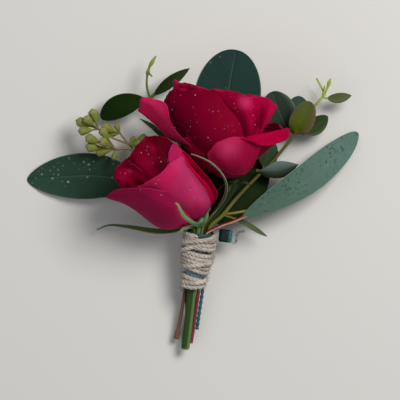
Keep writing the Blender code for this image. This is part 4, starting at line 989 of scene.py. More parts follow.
@dataclass
class Leaf:
    """A leaf on its stalk. The path runs from the stalk's root to the leaf's tip.

    blade is the share of the path where the blade starts, width its full width, face the direction
    that its upper side looks in at the blade's start and face_tip at its tip, cup how far its edges
    rise as a share of the half width, skew below 1 for a blade that is widest near its base, full
    below 1 for a blunt one, wall its thickness and waves the swing of its edges. edges are the tints
    of its left and right edges, which start at a share of the half width, stalks the stalk's tints
    to its left and right, and spots marks of (place, radius, tint).
    """

    path: tuple
    blade: float
    width: float
    face: Point = (0.0, 0.0, 1.0)
    face_tip: Point | None = None
    stalk: float = 0.8
    cup: float = 0.15
    skew: float = 0.9
    full: float = 0.7
    wall: float = 0.5
    waves: float = 0.3
    tint: Colour = TEAL_GREEN
    tip: Colour | None = None
    under: Colour | None = None
    edges: tuple[Colour | None, Colour | None] = (None, None)
    stalks: tuple[Colour, Colour] = (BARK_OLIVE, BARK_OLIVE)
    spots: tuple = ()
    edge_start: float = 0.55
    wet: float = 0.0

    def half_width(self, v: float) -> float:
        """Half the blade's width at its share v."""
        swell = sin(pi * min(1.0, max(0.0, v)) ** self.skew)
        return max(0.3, 0.5 * self.width * max(0.0, swell) ** self.full)

    def lay(
        self, skin: Skin, stalk_rows: int = 10, blade_rows: int = 30, half: Sequence[float] = HALF_SMALL
    ) -> None:
        """Adds the leaf to a skin.

        Args:
            skin: the piece that it is part of.
            stalk_rows: the rings along its stalk.
            blade_rows: the rings along its blade.
            half: the places across each half of it, from its midrib to its edge.
        """
        path = Path(self.path)
        face, face_tip = Vector(self.face), Vector(self.face_tip or self.face)
        shares = [self.blade * i / stalk_rows for i in range(stalk_rows)]
        eased = [0.5 - 0.5 * cos(pi * i / blade_rows) for i in range(blade_rows + 1)]
        shares += [mix(self.blade, 1.0, step) for step in eased]
        top = [-a for a in reversed(half)] + [0.0, *half]
        places = [(a, 1.0) for a in top] + [(a, -1.0) for a in reversed(top[1:-1])]
        rings, grain, tints, wet = [], [], [], []
        for share in shares:
            v = (share - self.blade) / (1.0 - self.blade)
            ahead = path.tangent(share)
            up = face.lerp(face_tip, max(0.0, v))
            up = (up - ahead * up.dot(ahead)).normalized()
            side, centre = ahead.cross(up), path.at(share)
            ring = []
            for a, above in places:
                ring.append(self.point(centre, side, up, v, a, above))
                grain.append((0.5 + 0.5 * a, max(0.0, v)))
                tints.append(self.colour(ring[-1], v, a, above))
                patch = ease(0.5 + 1.6 * ripple(ring[-1], 9.0, 4.0))
                wet.append(self.wet * patch if above > 0.0 and 0.04 < v < 0.97 and abs(a) < 0.9 else 0.0)
            rings.append(ring)
        skin.loft(rings, grain, tints, wet)

    def point(self, centre: Vector, side: Vector, up: Vector, v: float, a: float, above: float) -> Vector:
        """One point of the ring at v: a is its place across and above its side, 1 or -1."""
        flat = ease(v / 0.14)
        half = mix(self.stalk, max(self.stalk, self.half_width(v)), ease(v / 0.02))
        if v > 0.5:
            half = self.half_width(v)
        thick = mix(self.stalk, self.wall / 2.0, flat)
        lift = above * max(0.0, 1.0 - a * a) ** (0.5 * mix(1.0, 0.35, flat)) * thick
        groove = min(0.3, 0.014 * self.width) * flat * exp(-((a * half / 0.55) ** 2))
        bend = flat * half * self.cup * a * a - groove * (1.0 if above > 0.0 else 1.6)
        point = centre + side * (half * a)
        bend += flat * self.waves * (ripple(point, 15.0) + a * a * ripple(point, 5.5, 2.0))
        point = point + up * (lift + bend)
        point.z = max(point.z, 0.02)
        return point

    def colour(self, point: Vector, v: float, a: float, above: float) -> Colour:
        """The tint of one point."""
        tint = blend(self.tint, self.tip or self.tint, ease(v))
        if above < 0.0 and self.under:
            tint = self.under
        edge = self.edges[0] if a < 0.0 else self.edges[1]
        if edge:
            tint = blend(tint, edge, ease((abs(a) - self.edge_start) / (0.97 - self.edge_start)))
        stalk = blend(*self.stalks, ease(0.5 + 2.0 * a))
        tint = blend(stalk, tint, ease((v + 0.01) / 0.06))
        for spot, radius, mark in self.spots:
            tint = blend(mark, tint, ease((point - Vector(spot)).length / radius))
        return tint


# The roses.

PETAL_WALL = 0.34
GOLDEN_ANGLE = 137.5


class Crimson:
    """The tints of the petals' faces."""

    DEEP = tone(96, 0, 24)
    VELVET = tone(120, 2, 34)
    PLUM = tone(128, 26, 62)
    HEART = tone(84, 0, 18)


def shaped(grid: Grid, outwards: Vector, curl: float, ruffle: float, folds: float, seed: float) -> Grid:
    """Gives a petal's grid its swells and folds, the ruffle of its rim and a lip that turns outwards."""
    rows, cols = len(grid), len(grid[0])
    found = []
    for i, row in enumerate(grid):
        v = i / (rows - 1)
        near_rim = ease((v - 0.75) / 0.25)
        line = []
        for j, point in enumerate(row):
            down, across = slopes(grid, i, j)
            normal = down.cross(across).normalized()
            if normal.dot(outwards) < 0.0:
                normal = -normal
            swell = 0.5 * v * ripple(point, 12.0, seed)
            lengthways = Vector((4.0 * j / (cols - 1), 1.1 * v, 0.0))
            swell += folds * ease(v / 0.4) * ripple(lengthways, 1.0, seed + 8.0)
            waves = 2.4 * ripple(point, 7.0, seed) + ripple(point, 2.6, seed + 5.0)
            rim = near_rim * (curl * near_rim + ruffle * waves)
            nicks = 2.2 * ripple(point, 6.0, seed + 3.0) + 1.1 * ripple(point, 2.2, seed)
            notch = near_rim * ruffle * nicks
            line.append(point + normal * (swell + rim) + down.normalized() * notch)
        found.append(line)
    return found


@dataclass
class Face:
    """How a petal is dressed.

    outer, inner and root are its tints, and side the outer one at its other side. curl, ruffle and
    folds are the heights of its rim's turn and waves and of its lengthways folds. lip is the lighter
    tint of its turned rim, a painted highlight, and spots are patches of painted highlight and
    painted shade, as (place, radius, tint).
    """

    outer: Colour = Crimson.VELVET
    inner: Colour = Crimson.DEEP
    root: Colour = Crimson.PLUM
    side: Colour | None = None
    curl: float = 0.5
    ruffle: float = 0.35
    folds: float = 0.5
    wet: float = 0.0
    lip: Colour | None = None
    spots: tuple = ()

    def dress(self, skin: Skin, grid: Grid, outwards: Vector, seed: float) -> None:
        """Adds the petal to a skin.

        Args:
            skin: the bloom that it is part of.
            grid: rows of its middle points, from its root to its rim.
            outwards: a direction that its outer face looks in.
            seed: the seed of its swells.
        """
        grid = shaped(grid, outwards, self.curl, self.ruffle, self.folds, seed)
        rows, cols = len(grid), len(grid[0])
        outer, inner, wet = [], [], []
        for i, row in enumerate(grid):
            v = i / (rows - 1)
            for j, point in enumerate(row):
                lit = blend(self.outer, self.side or self.outer, ease(j / (cols - 1)))
                # The lip band is a painted highlight along the turned rim.
                if self.lip:
                    lit = blend(lit, self.lip, ease((v - 0.88) / 0.05))
                # Spots are painted highlights and painted shade.
                for spot, radius, mark in self.spots:
                    lit = blend(mark, lit, ease((point - Vector(spot)).length / radius))
                outer.append(blend(self.root, lit, ease(v / 0.4)))
                inner.append(self.inner)
                patch = ease(0.4 + 1.6 * ripple(point, 7.0, 9.0))
                wet.append(self.wet * patch * ease((v - 0.25) / 0.2) if v < 0.96 else 0.0)
        skin.plate(grid, PETAL_WALL, outer, inner, wet, outwards)


@dataclass
class Petal:
    """A petal by its measures in its rose's frame: X to the viewer, Y to the right, Z up the axis.

    turn is its place round the axis, lean a table of how far it leans outwards along its length in
    degrees, drop how far its shoulders fall below its tip, and wrap its curvature as a multiple of
    the distance from the axis.
    """

    turn: float
    width: float
    length: float
    lean: tuple
    face: Face = field(default_factory=Face)
    root: float = 3.0
    base: float = 0.8
    drop: float = 0.28
    wrap: float = 1.1

    def grid(self, rows: int = 20, cols: int = 20) -> Grid:
        """Its middle points, from its root to its rim."""
        steps = 24
        line = [(self.root, self.base)]
        for k in range(steps):
            angle = radians(along_table(self.lean, (k + 0.5) / steps))
            out, high = line[-1]
            step = self.length / steps
            line.append((out + step * sin(angle), high + step * cos(angle)))
        turn = Matrix.Rotation(radians(self.turn), 3, "Z")
        return [
            [turn @ self.point_at(line, i / rows, 2.0 * j / cols - 1.0) for j in range(cols + 1)]
            for i in range(rows + 1)
        ]

    def point_at(self, line: Table, share: float, across: float) -> Vector:
        """One point before the petal is turned to its place."""
        reach = share * (1.0 - self.drop * abs(across) ** 2.4 * share)
        place = reach * (len(line) - 1)
        low = min(int(place), len(line) - 2)
        out = mix(line[low][0], line[low + 1][0], place - low)
        high = mix(line[low][1], line[low + 1][1], place - low)
        swell = sin(0.5 * pi * min(1.0, share / 0.72)) ** 0.9
        radius = max(2.5, out * self.wrap)
        bend = across * 0.5 * self.width * mix(0.22, 1.0, swell) / radius
        return Vector((out - radius * (1.0 - cos(bend)), radius * sin(bend), high))


@dataclass
class Sheet:
    """A petal drawn by guide lines, side by side, each from its root to its rim."""

    face: Face
    lines: tuple

    def grid(self, rows: int = 36, cols: int = 36) -> Grid:
        """Its middle points: smooth along the guide lines and across them."""
        guides = [Path(line) for line in self.lines]
        found = []
        for i in range(rows + 1):
            across = smooth_path([guide.at(i / rows) for guide in guides], fine=cols * 2)
            last = len(across) - 1
            found.append([across[last * j // cols] for j in range(cols + 1)])
        return found


@dataclass
class Rose:
    """A rose head on its stem, with its hip and sepals.

    heading turns its axis from +Y and tilt lifts it to the viewer. heart is the radius and height of
    the spiral of inner petals, middle the height that the petals lie round, and sepals are (turn,
    width, steps outwards and up the axis). side_stem is the line of a second stem that grows along the
    first; its pale tint is a painted highlight along the stems' right side. drops are the smallest and
    largest drops of its dew, and spacing keeps them apart.
    """

    name: str
    base: Point
    heading: float
    tilt: float
    sheets: Sequence[Sheet]
    petals: Sequence[Petal]
    sepals: Sequence[tuple]
    stem: Sequence
    radii: Table
    heart: Pair
    hip: float = 4.3
    middle: float = 22.0
    free_sepals: Sequence[Leaf] = ()
    side_stem: Sequence = ()
    dew_seed: int = 3
    drops: Pair = (0.35, 0.95)
    spacing: float = 1.8
    green: Colour = SEPAL_GREEN
    pale: Colour = SEPAL_PALE

    def frame(self) -> Matrix:
        """The matrix from the rose's own frame."""
        heading, tilt = radians(self.heading), radians(self.tilt)
        flat = Vector((-sin(heading), cos(heading), 0.0))
        axis = flat * cos(tilt) + UP * sin(tilt)
        right = Vector((cos(heading), sin(heading), 0.0))
        turn = Matrix((right.cross(axis), right, axis)).transposed().to_4x4()
        return Matrix.Translation(Vector(self.base)) @ turn

    def whorl(self, count: int = 15) -> list[Petal]:
        """The spiral of inner petals, tight at the axis and more open outwards."""
        radius, height = self.heart
        petals = []
        for k in range(count):
            share = k / (count - 1)
            foot, waist, rim = mix(8.0, 58.0, share), mix(2.0, 10.0, share), mix(-16.0, 14.0, share)
            lean = ((0.0, foot), (0.35, waist), (0.75, -6.0), (1.0, rim))
            outer = blend(Crimson.HEART, Crimson.VELVET, share)
            face = Face(outer, Crimson.DEEP, curl=mix(0.1, 0.7, share))
            width, length = mix(9.0, 2.1 * radius, share), height * mix(0.93, 1.0, share)
            turn, root = GOLDEN_ANGLE * k + 40.0, 0.6 + 2.0 * share
            petals.append(Petal(turn, width, length, lean, face, root, wrap=1.0, drop=0.12))
        return petals

    def bloom(self, finish: Material, strewer: Strewer) -> None:
        """Builds the petals as one piece, and the dew on them."""
        frame = self.frame()
        turn = frame.to_3x3()
        skin = Skin()
        middle = frame @ (UP * self.middle)
        for n, sheet in enumerate(self.sheets):
            grid = sheet.grid()
            out = sum((p for row in grid for p in row), Vector()) / (len(grid) * len(grid[0])) - middle
            sheet.face.dress(skin, grid, out, 1.7 * n + 0.4)
        for n, petal in enumerate([*self.petals, *self.whorl()]):
            out = turn @ (Matrix.Rotation(radians(petal.turn), 3, "Z") @ Vector((1.0, 0.0, 0.1)))
            grid = [[frame @ p for p in row] for row in petal.grid()]
            petal.face.dress(skin, grid, out, 2.3 * n + 11.0)
        piece = skin.settle(self.name + "_bloom", "petals", finish, Slot.PETAL)
        strewer.dewed(piece, self.dew_seed, self.drops, self.spacing, strewer.petal_dew)

    def greens(self, finish: Material) -> None:
        """Builds the stem, hip and sepals."""
        frame = self.frame()
        skin = Skin()
        hip = [frame @ (UP * z) for z in (-self.hip, -self.hip / 2.0, -0.5)]
        profile = ((0.0, 1.6), (0.4, 2.5), (0.8, 3.1), (1.0, 2.7))
        skin.tube(hip, profile, ((0.0, self.green), (1.0, self.pale)), 20, 14)
        neck = [frame @ (UP * z) for z in (0.8 - self.hip, -1.7)]
        pale_cut, green = tone(176, 186, 140), self.green
        tints = ((0.0, pale_cut), (0.012, STEM_GREEN), (0.55, STEM_GREEN), (0.9, green), (1.0, green))
        skin.tube([*self.stem, *neck], self.radii, tints, 18, 90, 0.06)
        if self.side_stem:
            # The second stem's pale greens are a painted highlight along the stems' right side.
            side_highlight_tints = ((0.0, pale_cut), (0.02, tone(92, 120, 74)), (1.0, tone(84, 112, 66)))
            skin.tube(self.side_stem, ((0.0, 0.95), (1.0, 0.85)), side_highlight_tints, 14, 60, 0.05)
        for turn, width, steps in self.sepals:
            way = Matrix.Rotation(radians(turn), 3, "Z") @ Vector((1.0, 0.0, 0.0))
            line = [UP * -2.2 + way * 1.5] + [way * out + UP * high for out, high in steps]
            outward = frame.to_3x3() @ (way - UP * 0.6)
            path = tuple(frame @ p for p in line)
            bent = Leaf(path, 0.1, width, tuple(outward), stalk=1.0, cup=-0.25, skew=0.62, full=0.75)
            self.sepal(skin, bent)
        for leaf in self.free_sepals:
            self.sepal(skin, leaf)
        skin.settle(self.name + "_stem", "greens", finish, Slot.ROSE_GREEN)

    def sepal(self, skin: Skin, leaf: Leaf) -> None:
        """Adds one sepal, pale towards its tip."""
        leaf.tint, leaf.tip, leaf.stalks = self.green, self.pale, (self.green, self.green)
        leaf.wall = 0.6
        leaf.lay(skin, 3, 22)


FRONT_SHEETS = [
    # The broad front petal, highest along its middle and pointed at its upper right. The pink tint towards
    # its right and its two lighter spots are painted sheen.
    Sheet(Face(tone(150, 20, 62), Crimson.DEEP, tone(150, 30, 74), side=tone(190, 54, 106), curl=0.6,
               wet=0.5, folds=0.4,
               spots=(((-12, 13, 54), 9, tone(190, 26, 82)), ((3, -6, 38), 8, tone(176, 22, 66)))),
          (((0, -10, 28.5), (-10, -5.5, 39.5), (-18, -1, 45.5), (-23, 3.5, 50), (-27, 6.5, 52)),
           ((1.5, -9.8, 30), (-6, -3, 43.5), (-11.5, 3.5, 50.5), (-15, 9.5, 54), (-17, 12.2, 55)),
           ((3, -9.5, 30), (0, -2, 42.5), (-4, 6, 49), (-7.5, 13, 51.5), (-10.5, 18, 51)),
           ((4.5, -9, 29.5), (6, -2, 38), (2.5, 7, 43.5), (-2, 14.5, 46.5), (-5.6, 21.7, 46.5)),
           ((6, -8.3, 28), (9.9, -2.2, 31), (7.6, 4.6, 35.4), (2.4, 11, 40.4), (-2.5, 17.5, 44.5)))),
    # The outermost petal, a boat that ends in the tip at the lower left. Its pale pink root tint is painted
    # light on a part that faces away from the lamps.
    Sheet(Face(tone(146, 18, 64), tone(104, 4, 36), tone(200, 44, 98), side=tone(140, 26, 70), curl=0.4,
               ruffle=0.12, wet=0.2, folds=0.6),
          (((1.5, -9, 31), (-2.7, 0.7, 44.5), (-8.2, 3.3, 49), (-19.8, 5.8, 54.2), (-27, 5.9, 54.5),
            (-37, 5, 47), (-42.5, 1.6, 39)),
           ((1, -10, 30), (-6, -7, 39.5), (-14, -3, 46.5), (-24, 1, 49), (-34, 3.5, 46), (-42.2, 2, 39.5)),
           ((0.5, -11, 27), (-8, -12, 32.5), (-18, -9, 37), (-27, -4.5, 39), (-35, -0.5, 39),
            (-42.5, 1.6, 38.5)),
           ((0, -11.5, 23.5), (-9, -14.6, 23), (-16.5, -13.6, 25.5), (-24.5, -7.8, 29), (-32, -2, 33),
            (-42, 1.4, 38)),
           ((0, -11, 20), (-8, -12.5, 13), (-18, -9, 13), (-27, -3, 18), (-35, 1.5, 26), (-41.5, 2, 36.5)))),
    # The three petals of the cup that show beyond the front petal, left to right. Their dark roots and dark
    # spots are painted shade in the cup's hollows, and their lighter spots painted highlights on its ridges.
    Sheet(Face(tone(156, 0, 48), tone(120, 2, 38), tone(66, 0, 12), side=tone(104, 0, 28), wet=0.6,
               folds=0.55, ruffle=0.5,
               spots=(((-30, 14.6, 48), 2.4, tone(168, 44, 90)), ((-33, 12.6, 47), 5, tone(160, 6, 58)),
                      ((-25, 9.4, 46), 5, tone(60, 0, 10)))),
          (((-6, -8, 32), (-18, -2.5, 38), (-29, 3.5, 41), (-36, 7.2, 42)),
           ((-6, -6, 36), (-18, 1, 43), (-29.5, 7, 46), (-37.8, 10.5, 45)),
           ((-7, -4, 38), (-18, 5, 47), (-29, 12.5, 49), (-37.2, 16.4, 47)),
           ((-8, -2, 39), (-17, 8, 49), (-26, 16, 51.5), (-31.6, 20.8, 51)))),
    Sheet(Face(tone(122, 0, 36), tone(96, 0, 26), tone(64, 0, 12), side=tone(84, 0, 20), wet=0.5, folds=0.7,
               ruffle=0.6,
               spots=(((-17.8, 26, 50), 4, tone(132, 8, 44)), ((-21, 18.5, 50), 4.5, tone(124, 4, 40)),
                      ((-15, 17, 50), 5, tone(64, 0, 10)))),
          (((-8, -4, 36), (-18, 5, 44.5), (-27, 13, 47.5), (-32, 20, 47)),
           ((-7, -2, 38), (-15, 8, 48), (-23, 17, 50.5), (-29.5, 24, 49.5)),
           ((-6, 0, 38), (-11, 10, 48), (-17, 20, 50), (-22.5, 31, 47)),
           ((-4, 1, 36), (-6, 10, 45), (-11, 19, 47), (-17.5, 30.5, 45)))),
    Sheet(Face(tone(80, 0, 18), tone(76, 0, 18), tone(56, 0, 12), side=tone(92, 0, 26), wet=0.3, folds=0.5),
          (((-5, 0, 35.5), (-10, 10, 45), (-15, 20, 46.5), (-21, 31, 43)),
           ((-4, 1, 34.5), (-6, 10, 43), (-10, 21, 44.5), (-16.5, 32.3, 41.5)),
           ((-2, 2, 32), (-2, 12, 39), (-5, 21, 40), (-12.5, 30.5, 38.5)),
           ((0, 2, 28), (0, 12, 33), (-3, 19.5, 35), (-9, 27, 36)))),
    # The lit petal between the cup and the front petal's point.
    Sheet(Face(tone(165, 25, 80), tone(120, 4, 40), tone(150, 20, 70), side=tone(172, 26, 80)),
          (((-3, -2, 35), (-8, 8, 44), (-11.8, 16, 47.5), (-11.5, 22, 46.8)),
           ((-2, -1, 35), (-5.5, 9, 43.5), (-8.5, 18, 46), (-8.7, 28, 43)),
           ((0, 0, 33), (-1, 9, 41), (-4, 17, 43), (-4.5, 24.5, 42)))),
    # The two petals whose rims run down the right side.
    Sheet(Face(tone(192, 6, 64), tone(110, 0, 34), tone(130, 6, 44), curl=0.3),
          (((5, -7, 27.5), (8.5, 0, 33), (5, 7.5, 37.5), (-0.5, 14, 41.5), (-5.5, 21.5, 42.5)),
           ((6, -7.5, 26.5), (11.4, -0.5, 30.5), (9.8, 6, 35.3), (3, 13.6, 40), (-4.6, 23, 42.5)),
           ((6, -7, 22), (9.6, 0, 25.5), (7.5, 6.5, 30), (1.5, 13.8, 35), (-5.2, 22.5, 39.5)))),
    Sheet(Face(tone(164, 4, 52), tone(110, 0, 34), tone(110, 6, 36), curl=0.3),
          (((5, -6, 25.5), (9.5, 2, 29.5), (7, 9.5, 33.5), (2, 15.6, 37), (-5, 23.5, 40)),
           ((6.5, -7, 24.5), (12.6, 1.2, 28.5), (11.3, 7, 32.5), (4.4, 15.8, 37.5), (-4.5, 24.5, 40.5)),
           ((5, -6, 19), (8.5, 1, 21), (6, 7.5, 25), (-0.5, 14.5, 31), (-6.5, 23, 37)))),
]

BACK_SHEETS = [
    # The cup's broad near face, from its left edge to the turned rim on its right.
    Sheet(Face(tone(104, 0, 32), tone(110, 0, 30), tone(130, 0, 42), side=tone(140, 0, 38), curl=0.8,
               ruffle=0.6, wet=0.8, folds=1.3),
          (((12, 15, 29), (-1.5, 25, 31), (-10.5, 35.5, 35.5), (-14, 44.5, 37), (-13.5, 50, 36.5)),
           ((14, 15, 35), (4, 26, 41.5), (-3, 39, 45.5), (-7, 48, 44.5), (-8.8, 54, 42)),
           ((16, 15.5, 38), (9.5, 27, 47.5), (5, 42, 50), (3.5, 50, 48.5), (3, 55, 46.5)),
           ((18.5, 16, 40), (16, 27, 50), (14, 41, 51), (13.5, 50, 49.5), (13.7, 54.9, 48)),
           ((21, 16, 39.5), (23, 26, 48.5), (25, 39, 49), (25.5, 47, 48), (25.7, 52.2, 47.5)),
           ((24, 16, 37), (29, 24, 43), (32, 34, 43), (34, 42.5, 43.5), (35.4, 51.2, 44.5)),
           ((25.5, 16, 34), (31.5, 24, 37.5), (35, 34, 37), (37.5, 42, 38), (39.7, 49, 41)),
           ((26.5, 16, 34), (32.5, 25, 39.5), (36.8, 35.5, 41.5), (40.3, 41, 42), (42.5, 46.8, 42.5)))),
    # The lighter petal that laps over its upper right, creased before its tip. Its pink spot is a painted
    # highlight, the three dark spots along the crease are painted shade in the fold, and the lighter tint at
    # its right is painted light on its rim.
    Sheet(Face(tone(136, 0, 42), tone(110, 0, 30), tone(90, 0, 22), side=tone(172, 8, 64), curl=0.4,
               ruffle=0.5, wet=0.6, folds=0.6,
               spots=(((26.8, 48.2, 51), 5.5, tone(184, 40, 92)), ((36, 45.4, 48), 4.5, tone(126, 0, 38)),
                      ((34.6, 41.6, 47), 5, tone(108, 0, 30)), ((32.8, 37.4, 46), 5, tone(104, 0, 28)))),
          (((26, 25, 44), (24, 38, 48), (18, 46.5, 49.4), (11, 54.6, 48.4)),
           ((27, 25, 45), (28, 38, 52), (24.5, 47, 52.8), (20.8, 53.8, 50.8)),
           ((28, 25, 44.5), (31, 36, 50.4), (30, 45, 50.6), (28.5, 51.2, 50)),
           ((29, 25, 43), (32.6, 34, 45.4), (33.6, 43, 46), (35.2, 51.6, 47)),
           ((30, 25, 43), (35, 34, 46.5), (38.5, 42, 48), (42.3, 47.8, 46)),
           ((30, 24.5, 41), (35.2, 33, 43.5), (39, 38.9, 45.5), (42.7, 46.8, 45)))),
    # The petal whose lip shows over the cup's upper left.
    Sheet(Face(tone(166, 12, 62), tone(128, 4, 44), side=tone(120, 0, 38), curl=0.8, ruffle=0.6, wet=0.3,
               folds=1),
          (((0, 30, 34), (-6, 42, 38), (-9, 52, 38), (-7.9, 59.2, 40)),
           ((4, 30, 38), (0, 42, 43), (-1, 52, 43.5), (-1, 58.4, 45)),
           ((8, 30, 40), (6, 42, 45), (5.5, 50, 45.5), (5.5, 56.8, 46.5)),
           ((12, 30, 40), (11, 40, 45), (10, 47, 45.5), (9.6, 53, 46)))),
    # The outer petal at the left, folded back to its tip. Its bright pink tints are painted light on a face
    # that turns away from the lamps.
    Sheet(Face(tone(196, 34, 86), tone(96, 2, 34), tone(170, 10, 60), side=tone(170, 8, 56), wet=0.8),
          (((12, 14, 33), (1, 25.8, 38.5), (-5.6, 31.8, 43.5), (-10.4, 39, 44.5), (-12.4, 47.7, 42),
            (-18.9, 50.4, 37), (-24, 51.4, 33)),
           ((12, 14, 29), (-1, 26, 33), (-8.5, 31.6, 38), (-14.6, 39.6, 38.5), (-20, 46, 36.5),
            (-25.2, 49, 32.5)),
           ((12, 14, 24), (-1.5, 26.5, 27), (-10.6, 30.4, 30), (-17.2, 37.2, 30.5), (-22, 41.5, 30),
            (-25.8, 44.9, 29.5)),
           ((13, 15, 18), (1, 27, 18), (-8, 33, 20), (-14, 39, 23), (-20, 44, 25.5), (-25, 46, 27.5)))),
    # The dark flank between the left petal and the lower front petal.
    Sheet(Face(tone(132, 8, 44), Crimson.HEART, tone(108, 2, 34)),
          (((16, 13.5, 35.5), (10, 17, 39), (6, 24, 41), (3, 33, 43)),
           ((14, 13, 30), (5.4, 15.6, 31), (-0.8, 22.4, 34), (-3.6, 31, 38)),
           ((14, 13.5, 22), (6, 16, 21), (-0.4, 22.6, 23), (-4.6, 31, 27)))),
    # The domed lower front petal. Its pink spot is a painted highlight, and its lighter lip a painted
    # highlight along the turned rim.
    Sheet(Face(tone(150, 18, 58), Crimson.DEEP, tone(160, 16, 62), side=tone(144, 12, 54), curl=0.1, wet=0.2,
               ruffle=0.25, lip=tone(176, 16, 64), spots=(((18.5, 25.7, 54), 9, tone(178, 46, 90)),)),
          (((17.6, 14.4, 38), (12.6, 15.6, 43), (9, 18.2, 47), (8, 22.5, 49.5)),
           ((20, 12.8, 40), (15.5, 16.2, 48), (12.8, 22, 52.5), (12.5, 28, 53)),
           ((23.2, 12.4, 41), (20.6, 16.8, 50), (18.8, 24, 54.5), (19, 30.8, 54.5)),
           ((26.2, 12.6, 41), (26, 16.8, 49.5), (26.4, 24, 53.5), (27, 31, 54)),
           ((28.4, 14, 39), (31, 17, 45), (33, 21.5, 48.5), (35, 27, 50)))),
    # The right petal with its lip rolled over towards the viewer.
    Sheet(Face(tone(120, 0, 36), tone(160, 0, 50), tone(120, 8, 44), side=tone(128, 0, 40), curl=0,
               ruffle=0.15),
          (((22, 16, 40), (23, 22, 48), (23.6, 29.4, 53.4), (23.9, 30.3, 54.3), (24.2, 30, 54.6)),
           ((24, 16, 40), (27, 22, 48), (28.5, 30.5, 52.5), (29.3, 31, 55), (30, 28.8, 55.5)),
           ((25, 16, 38), (31, 22, 45), (35, 31, 50.5), (35.6, 32.4, 53.5), (34.5, 27, 54)),
           ((26, 16, 34), (36, 24, 42), (41, 33, 47.5), (42, 33.4, 50.5), (40.5, 27.2, 51.5)),
           ((26, 16, 31), (40, 27, 36), (46.3, 34.8, 43.5), (48, 34.2, 46.5), (45.8, 29.2, 47.5)),
           ((26, 16, 28), (40, 30, 30), (46.8, 35.6, 38), (49.1, 34.2, 41), (48.6, 31.2, 43.5)))),
    # The petal behind it, which closes the hollow at the right. Its near-black tints are painted shade in
    # the hollow.
    Sheet(Face(tone(70, 0, 16), tone(60, 0, 14), tone(60, 0, 14)),
          (((24, 14, 32), (31, 26, 34), (37.2, 37.8, 37)), ((25, 14, 29), (34, 26, 30), (42.2, 38.2, 34)),
           ((26, 13, 25), (36, 26, 26), (46.9, 35.8, 34)))),
]

FRONT_STEM = (*Bundle.line((2, -0.9, 1.9), (1.5, -0.8, 1.9), (1, -0.7, 1.9), (0.5, -1, 2.2)),
              *Bundle.held((-0.9, 2.2))[1:])
SIDE_STEM = Bundle.line((1.985, 0.55, 2.6), (1.5, 0.85, 2.7), (1, 1.05, 2.7), (0.6, 1.1, 2.4))
BACK_STEM = (*Bundle.line((1.93, 0.3, -3.05), (1.5, -0.6, -2.4), (1, -1.9, -1.6), (0.5, 1.3, -1.8)),
             *Bundle.held((2.5, -1.3))[1:], (12, -7.6, 18.5))
INNER = Face(tone(112, 0, 32), tone(96, 0, 26), curl=0.5)
OUTER = Face(tone(134, 10, 52), tone(110, 0, 34), curl=0.2, ruffle=0.3)


def front_rose() -> Rose:
    """The lower rose, open to the upper left."""
    return Rose(
        name="rose_front",
        base=(3, -10.2, 23.5),
        heading=46,
        tilt=20,
        heart=(8.5, 42),
        hip=3.4,
        sheets=FRONT_SHEETS,
        petals=[Petal(172, 34, 40, ((0, 60), (0.3, 13), (0.8, 0), (1, 4)), OUTER, drop=0.2),
                Petal(-132, 34, 40, ((0, 58), (0.3, 12), (0.8, 0), (1, 4)), OUTER, drop=0.25),
                Petal(75, 26, 44, ((0, 46), (0.35, 14), (0.75, -6), (1, 2)), INNER, wrap=1, drop=0.2),
                Petal(-100, 27, 45, ((0, 50), (0.35, 14), (0.75, -2), (1, 4)), INNER, wrap=1, drop=0.2)],
        sepals=((122, 4, ((6, -2.2), (9, -2.6), (11.5, -2))), (172, 4, ((5.5, -2), (7.5, -2), (9, -1.4)))),
        free_sepals=(
            # The long sepal that curls up over the petals, and the two short ones beside it.
            Leaf(((3.8, -12.2, 23), (3.2, -12.2, 30), (0.2, -10.9, 38), (-2.8, -8.8, 43), (-5, -5.4, 48),
                  (-6.3, -2.6, 51), (-7.6, -1.5, 52)), 0.08, 2, (0.3, -0.5, 0.8), stalk=0.9, cup=-0.2,
                 skew=0.8, full=0.3),
            Leaf(((2.8, -12.4, 22.8), (-0.6, -12.6, 25.2), (-3.6, -14, 26), (-6, -16.6, 25.8)), 0.1, 1.8,
                 (-0.2, -0.5, 0.8), stalk=0.8),
            Leaf(((4, -12.4, 22.8), (6.2, -11.4, 28.5), (7.8, -8.8, 33), (8.4, -6.4, 36)), 0.1, 2.4,
                 (0.5, -0.5, 0.7), stalk=0.9),
        ),
        stem=FRONT_STEM,
        side_stem=SIDE_STEM,
        radii=((0, 1.8), (0.5, 1.75), (1, 1.7)),
        dew_seed=3,
    )


